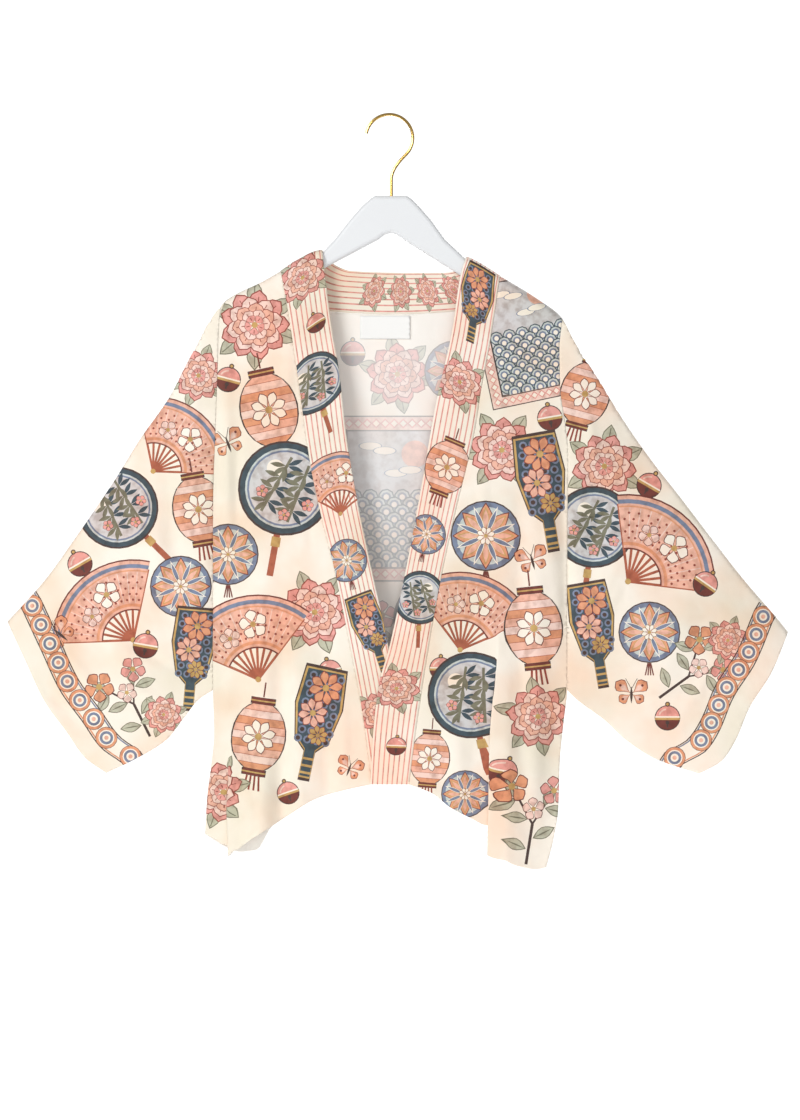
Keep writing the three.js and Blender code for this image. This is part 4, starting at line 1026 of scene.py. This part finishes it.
def band_form(seam_rows, free_rows, inward, lifted):
    """Where a front stretch of the band lies, between its seam and its free edge."""
    seam, free = curve(seam_rows), curve(free_rows)
    shift = half_gap * inward
    seam_top, free_top = seam_rows[0], free_rows[0]

    def form(across, along):
        share, down = across / BAND_WIDE, 1 - along / BAND_LONG
        seam_z = mix(seam_top[0], BAND_HEM, down)
        free_z = mix(free_top[0], BAND_HEM, down)
        x = mix(seam(seam_z) + shift, free(free_z), share)
        top_x = mix(seam_top[1] + shift, free_top[1], share)
        bulge = shoulder(top_x) - mix(shoulder(seam_top[1] + shift), shoulder(free_top[1]), share)
        z = mix(seam_z, free_z, share) + bulge * (1 - down)
        return x, front_y(x, z) - (lap_lift(x, z) if lifted else 0), z

    return form


def back_band_form(across, along):
    """Where the stretch behind the neck stands, with its ends level with the shoulders."""
    share, run = across / BAND_WIDE, along / BACK_BAND_LONG
    free = curve(BACK_NECK_FREE)
    seam_x = mix(NECK_LEFT + SEAM_GAP, NECK_RIGHT - SEAM_GAP, run)
    free_x = mix(BAND_TOP_LEFT, BAND_TOP_RIGHT, run)
    x = mix(seam_x, free_x, share)
    z = mix(back_neck(seam_x), free(free_x), share)
    for end, weight in ((0, 1 - run), (1, run)):
        end_seam = mix(NECK_LEFT + SEAM_GAP, NECK_RIGHT - SEAM_GAP, end)
        end_free = mix(BAND_TOP_LEFT, BAND_TOP_RIGHT, end)
        chord = mix(back_neck(end_seam), free(end_free), share)
        z = z + weight * (shoulder(mix(end_seam, end_free, share)) - chord)
    return x, back_y(x, z), z


def strip(wide, long, step=GRID):
    """Outline of a flat strip, with points along its edges."""
    u = np.linspace(0, wide, round(wide / step) + 1)
    v = np.linspace(0, long, round(long / step) + 1)
    return ([(a, 0) for a in u[:-1]] + [(wide, b) for b in v[:-1]]
            + [(a, long) for a in u[:0:-1]] + [(0, b) for b in v[:0:-1]])


STRIPE_PITCH, STRIPE_WIDE = 6, 1.5
LEFT_BAND_PRINT = [
    (peony, 22, 655, 36, 0), (bell, 30, 592, 15, 10), (round_fan, 20, 505, 52, 10),
    (folding_fan, 30, 385, 46, -10), (thread_ball, 18, 290, 34, 0), (paddle, 30, 195, 52, 8),
    (peony, 20, 92, 34, 0), (bell, 30, 34, 14, 0),
]
RIGHT_BAND_PRINT = [
    (paddle, 24, 628, 50, 0), (peony, 26, 525, 38, 0), (lantern, 22, 415, 48, 5),
    (thread_ball, 30, 325, 32, 0), (round_fan, 20, 230, 48, -8), (peony, 28, 125, 34, 0),
    (bell, 20, 50, 15, 0),
]
BACK_BAND_PRINT = [(peony, 24, 120 + 44 * k, 23, -90 + 40 * k) for k in range(4)]


def stripes(long):
    """Pink pinstripes down the length of the band."""
    return [stamp([("pink", box(u - STRIPE_WIDE / 2, -1, u + STRIPE_WIDE / 2, long + 1))
                   for u in np.arange(STRIPE_PITCH / 2, BAND_WIDE, STRIPE_PITCH)])]


def band_piece(name, node, form, long, outward, layout):
    close = [(a, long - away) for away in NEAR_BAND_END for a in np.linspace(1, BAND_WIDE, 12)]
    ends = close + [(a, long - b) for a, b in close] if outward > 0 else close
    cut = cut_cloth(strip(BAND_WIDE, long), stripes(long) + placed(layout), ends)
    piece = hang_cloth(name, cut, form, outward, BAND_THICK, reverse_paled_and_lit=0.0)
    finish_cloth(piece, node)
    return piece


neckband_left = band_piece("left_neckband", "neckband_left",
                           band_form(BAND_SEAM_LEFT, BAND_FREE_LEFT, 1, False), BAND_LONG, -1,
                           LEFT_BAND_PRINT)
neckband_right = band_piece("right_neckband", "neckband_right",
                            band_form(BAND_SEAM_RIGHT, BAND_FREE_RIGHT, -1, True), BAND_LONG, 1,
                            RIGHT_BAND_PRINT)
neckband_back = band_piece("back_neckband", "neckband_back", back_band_form, BACK_BAND_LONG, 1,
                           BACK_BAND_PRINT)


# The label
# A bare white woven tape with its ends turned in, sewn flat to the inside of the back just under
# the neckband.
LABEL_LEFT, LABEL_RIGHT, LABEL_TOP, LABEL_BOTTOM = -39, 24, -249, -278
LABEL_THICK, LABEL_CLEAR = 1.0, 0.3
RIB, RIB_DEEP = 0.5 * MM, 0.1 * MM


def label_form(u, v):
    """Where the tape lies in front of the back's cloth."""
    x, z = LABEL_LEFT + u, LABEL_BOTTOM + v
    return x, back_y(x, z) - CREPE_THICK / 2 - SEAM_GAP - LABEL_THICK / 2 - LABEL_CLEAR, z


def give_surface(piece, material):
    piece.data.materials.clear()
    piece.data.materials.append(material)


label_wide, label_long = LABEL_RIGHT - LABEL_LEFT, LABEL_TOP - LABEL_BOTTOM
label = hang_cloth("label_tape", cut_cloth(strip(label_wide, label_long), []), label_form, -1,
                   LABEL_THICK)
finish_cloth(label, "label")
# Half matt, with ribs across it that catch a little light. The wave's bands are 2 pi ribs apart,
# because real ribs of 0.5 mm are too fine to show.
tape, tape_tree = new_material("white woven tape")
tape_place = add_node(tape_tree, "ShaderNodeTexCoord").outputs["Object"]
ribs = add_node(tape_tree, "ShaderNodeTexWave", {"Vector": tape_place, "Scale": 1 / (20 * RIB)},
                bands_direction="Z")
ribbed = add_node(tape_tree, "ShaderNodeBump",
                  {"Height": ribs.outputs["Fac"], "Strength": 0.4, "Distance": RIB_DEEP})
tape_surface = add_node(tape_tree, "ShaderNodeBsdfPrincipled",
                        {"Base Color": linear("#f6f5f2"), "Roughness": 0.5,
                         "Normal": ribbed.outputs["Normal"]})
add_node(tape_tree, "ShaderNodeOutputMaterial", {"Surface": tape_surface.outputs["BSDF"]})
give_surface(label, tape)


# The hanger
# A flat board of wood, sawn to a bell shape with rounded edges. It hangs from its hook and
# carries the jacket on its shoulders.
BRUSH_MARK, BRUSH_DEEP = 6 * MM, 0.2 * MM
# Brushed white enamel: a soft shine, with marks of the brush that make it slightly uneven.
paint, paint_tree = new_material("white paint on wood")
paint_place = add_node(paint_tree, "ShaderNodeTexCoord").outputs["Object"]
brushed = add_node(paint_tree, "ShaderNodeTexNoise",
                   {"Vector": paint_place, "Scale": 1 / BRUSH_MARK, "Detail": 3.0})
uneven = add_node(paint_tree, "ShaderNodeBump",
                  {"Height": brushed.outputs["Fac"], "Strength": 0.25, "Distance": BRUSH_DEEP})
paint_surface = add_node(paint_tree, "ShaderNodeBsdfPrincipled",
                         {"Base Color": linear("#e6e8ea"), "Roughness": 0.4, "IOR": 1.5,
                          "Normal": uneven.outputs["Normal"]})
add_node(paint_tree, "ShaderNodeOutputMaterial", {"Surface": paint_surface.outputs["BSDF"]})
give_surface(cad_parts["hanger"], paint)


# The hook
# Brass-plated steel wire, bent to a round crook. Its straight end is set in the middle of the
# board's head, where it can turn.
DRAWING_MARK = 3 * MM
MOST_POLISHED, LEAST_POLISHED = 0.16, 0.32
# Polished plating: yellow metal with sharp glints, duller in spots where the wire was drawn.
gold, gold_tree = new_material("brass plated wire")
gold_place = add_node(gold_tree, "ShaderNodeTexCoord").outputs["Object"]
drawn_marks = add_node(gold_tree, "ShaderNodeTexNoise",
                       {"Vector": gold_place, "Scale": 1 / DRAWING_MARK, "Detail": 2.0})
dulled = add_node(gold_tree, "ShaderNodeMapRange",
                  {"Value": drawn_marks.outputs["Fac"], "To Min": MOST_POLISHED,
                   "To Max": LEAST_POLISHED})
gold_surface = add_node(gold_tree, "ShaderNodeBsdfPrincipled",
                        {"Base Color": linear("#d9b368"), "Roughness": dulled.outputs["Result"],
                         "Metallic": 1.0})
add_node(gold_tree, "ShaderNodeOutputMaterial", {"Surface": gold_surface.outputs["BSDF"]})
give_surface(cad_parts["hanger_hook"], gold)


# The studio
# A round white floor below, white paper all round, and soft light: a key and a dimmer fill
# softbox in front and the same two behind, so that the jacket can be seen from every side.
CAMERA_AWAY, SENSOR_WIDE = 4.0, 36
FIELD_HIGH = 1.4
CENTRE_X, CENTRE_Z = 0.01125, -0.555
FLOOR_Z, FLOOR_RADIUS = -1.6, 1.8
SOFT_LIGHT, PAPER_WHITE, FLOOR_GLOW = 0.32, 1.2, 0.6
# Place in metres, size in metres and watts, for the boxes in front
SOFTBOXES = {"key": ((-1.9, -2.2, 0.9), 1.2, 54), "fill": ((0.3, -3.9, -0.2), 1.0, 30)}
SOFTBOX_AIM = (0, 0, -0.5)

# Matt white paint, lit a little by itself so that it looks as white as the paper.
floor_paint, floor_tree = new_material("white floor paint")
floor_surface = add_node(floor_tree, "ShaderNodeBsdfPrincipled",
                         {"Base Color": (0.9, 0.9, 0.9, 1), "Roughness": 0.9,
                          "Emission Color": (1, 1, 1, 1), "Emission Strength": FLOOR_GLOW})
add_node(floor_tree, "ShaderNodeOutputMaterial", {"Surface": floor_surface.outputs["BSDF"]})
floor_mesh = bpy.data.meshes.new("floor")
floor_ring = ring(FLOOR_RADIUS, steps=96)
floor_mesh.from_pydata([(x, y, FLOOR_Z) for x, y in floor_ring], [], [range(len(floor_ring))])
floor_mesh.materials.append(floor_paint)
floor = bpy.data.objects.new("floor", floor_mesh)
bpy.context.collection.objects.link(floor)

# The paper round the jacket looks pure white, and sends back a softer light than it shows.
world = bpy.data.worlds.new("studio")
bpy.context.scene.world = world
world.use_nodes = True
world.node_tree.nodes.clear()
seen = add_node(world.node_tree, "ShaderNodeLightPath").outputs["Is Camera Ray"]
strength = add_node(world.node_tree, "ShaderNodeMapRange",
                    {"Value": seen, "To Min": SOFT_LIGHT, "To Max": PAPER_WHITE})
white = add_node(world.node_tree, "ShaderNodeBackground",
                 {"Color": (1, 1, 1, 1), "Strength": strength.outputs["Result"]})
add_node(world.node_tree, "ShaderNodeOutputWorld", {"Surface": white.outputs["Background"]})


def softbox(name, place, size, watts):
    light = bpy.data.lights.new(name, "AREA")
    light.shape, light.size, light.energy = "SQUARE", size, watts
    lamp = bpy.data.objects.new(name, light)
    lamp.location = place
    lamp.rotation_euler = (Vector(SOFTBOX_AIM) - Vector(place)).to_track_quat("-Z", "Y").to_euler()
    lamp.visible_camera = False
    bpy.context.collection.objects.link(lamp)


for where, facing in (("front", 1), ("rear", -1)):
    for kind, ((x, y, z), size, watts) in SOFTBOXES.items():
        softbox(f"{where} {kind} softbox", (x * facing, y * facing, z), size, watts)

camera_data = bpy.data.cameras.new("camera")
camera_data.sensor_width = SENSOR_WIDE
camera_data.lens = camera_data.sensor_width * CAMERA_AWAY / FIELD_HIGH
camera = bpy.data.objects.new("camera", camera_data)
camera.location = (CENTRE_X, -CAMERA_AWAY, CENTRE_Z)
camera.rotation_euler = (math.pi / 2, 0, 0)
bpy.context.collection.objects.link(camera)
bpy.context.scene.camera = camera
bpy.context.scene.view_settings.view_transform = "Standard"
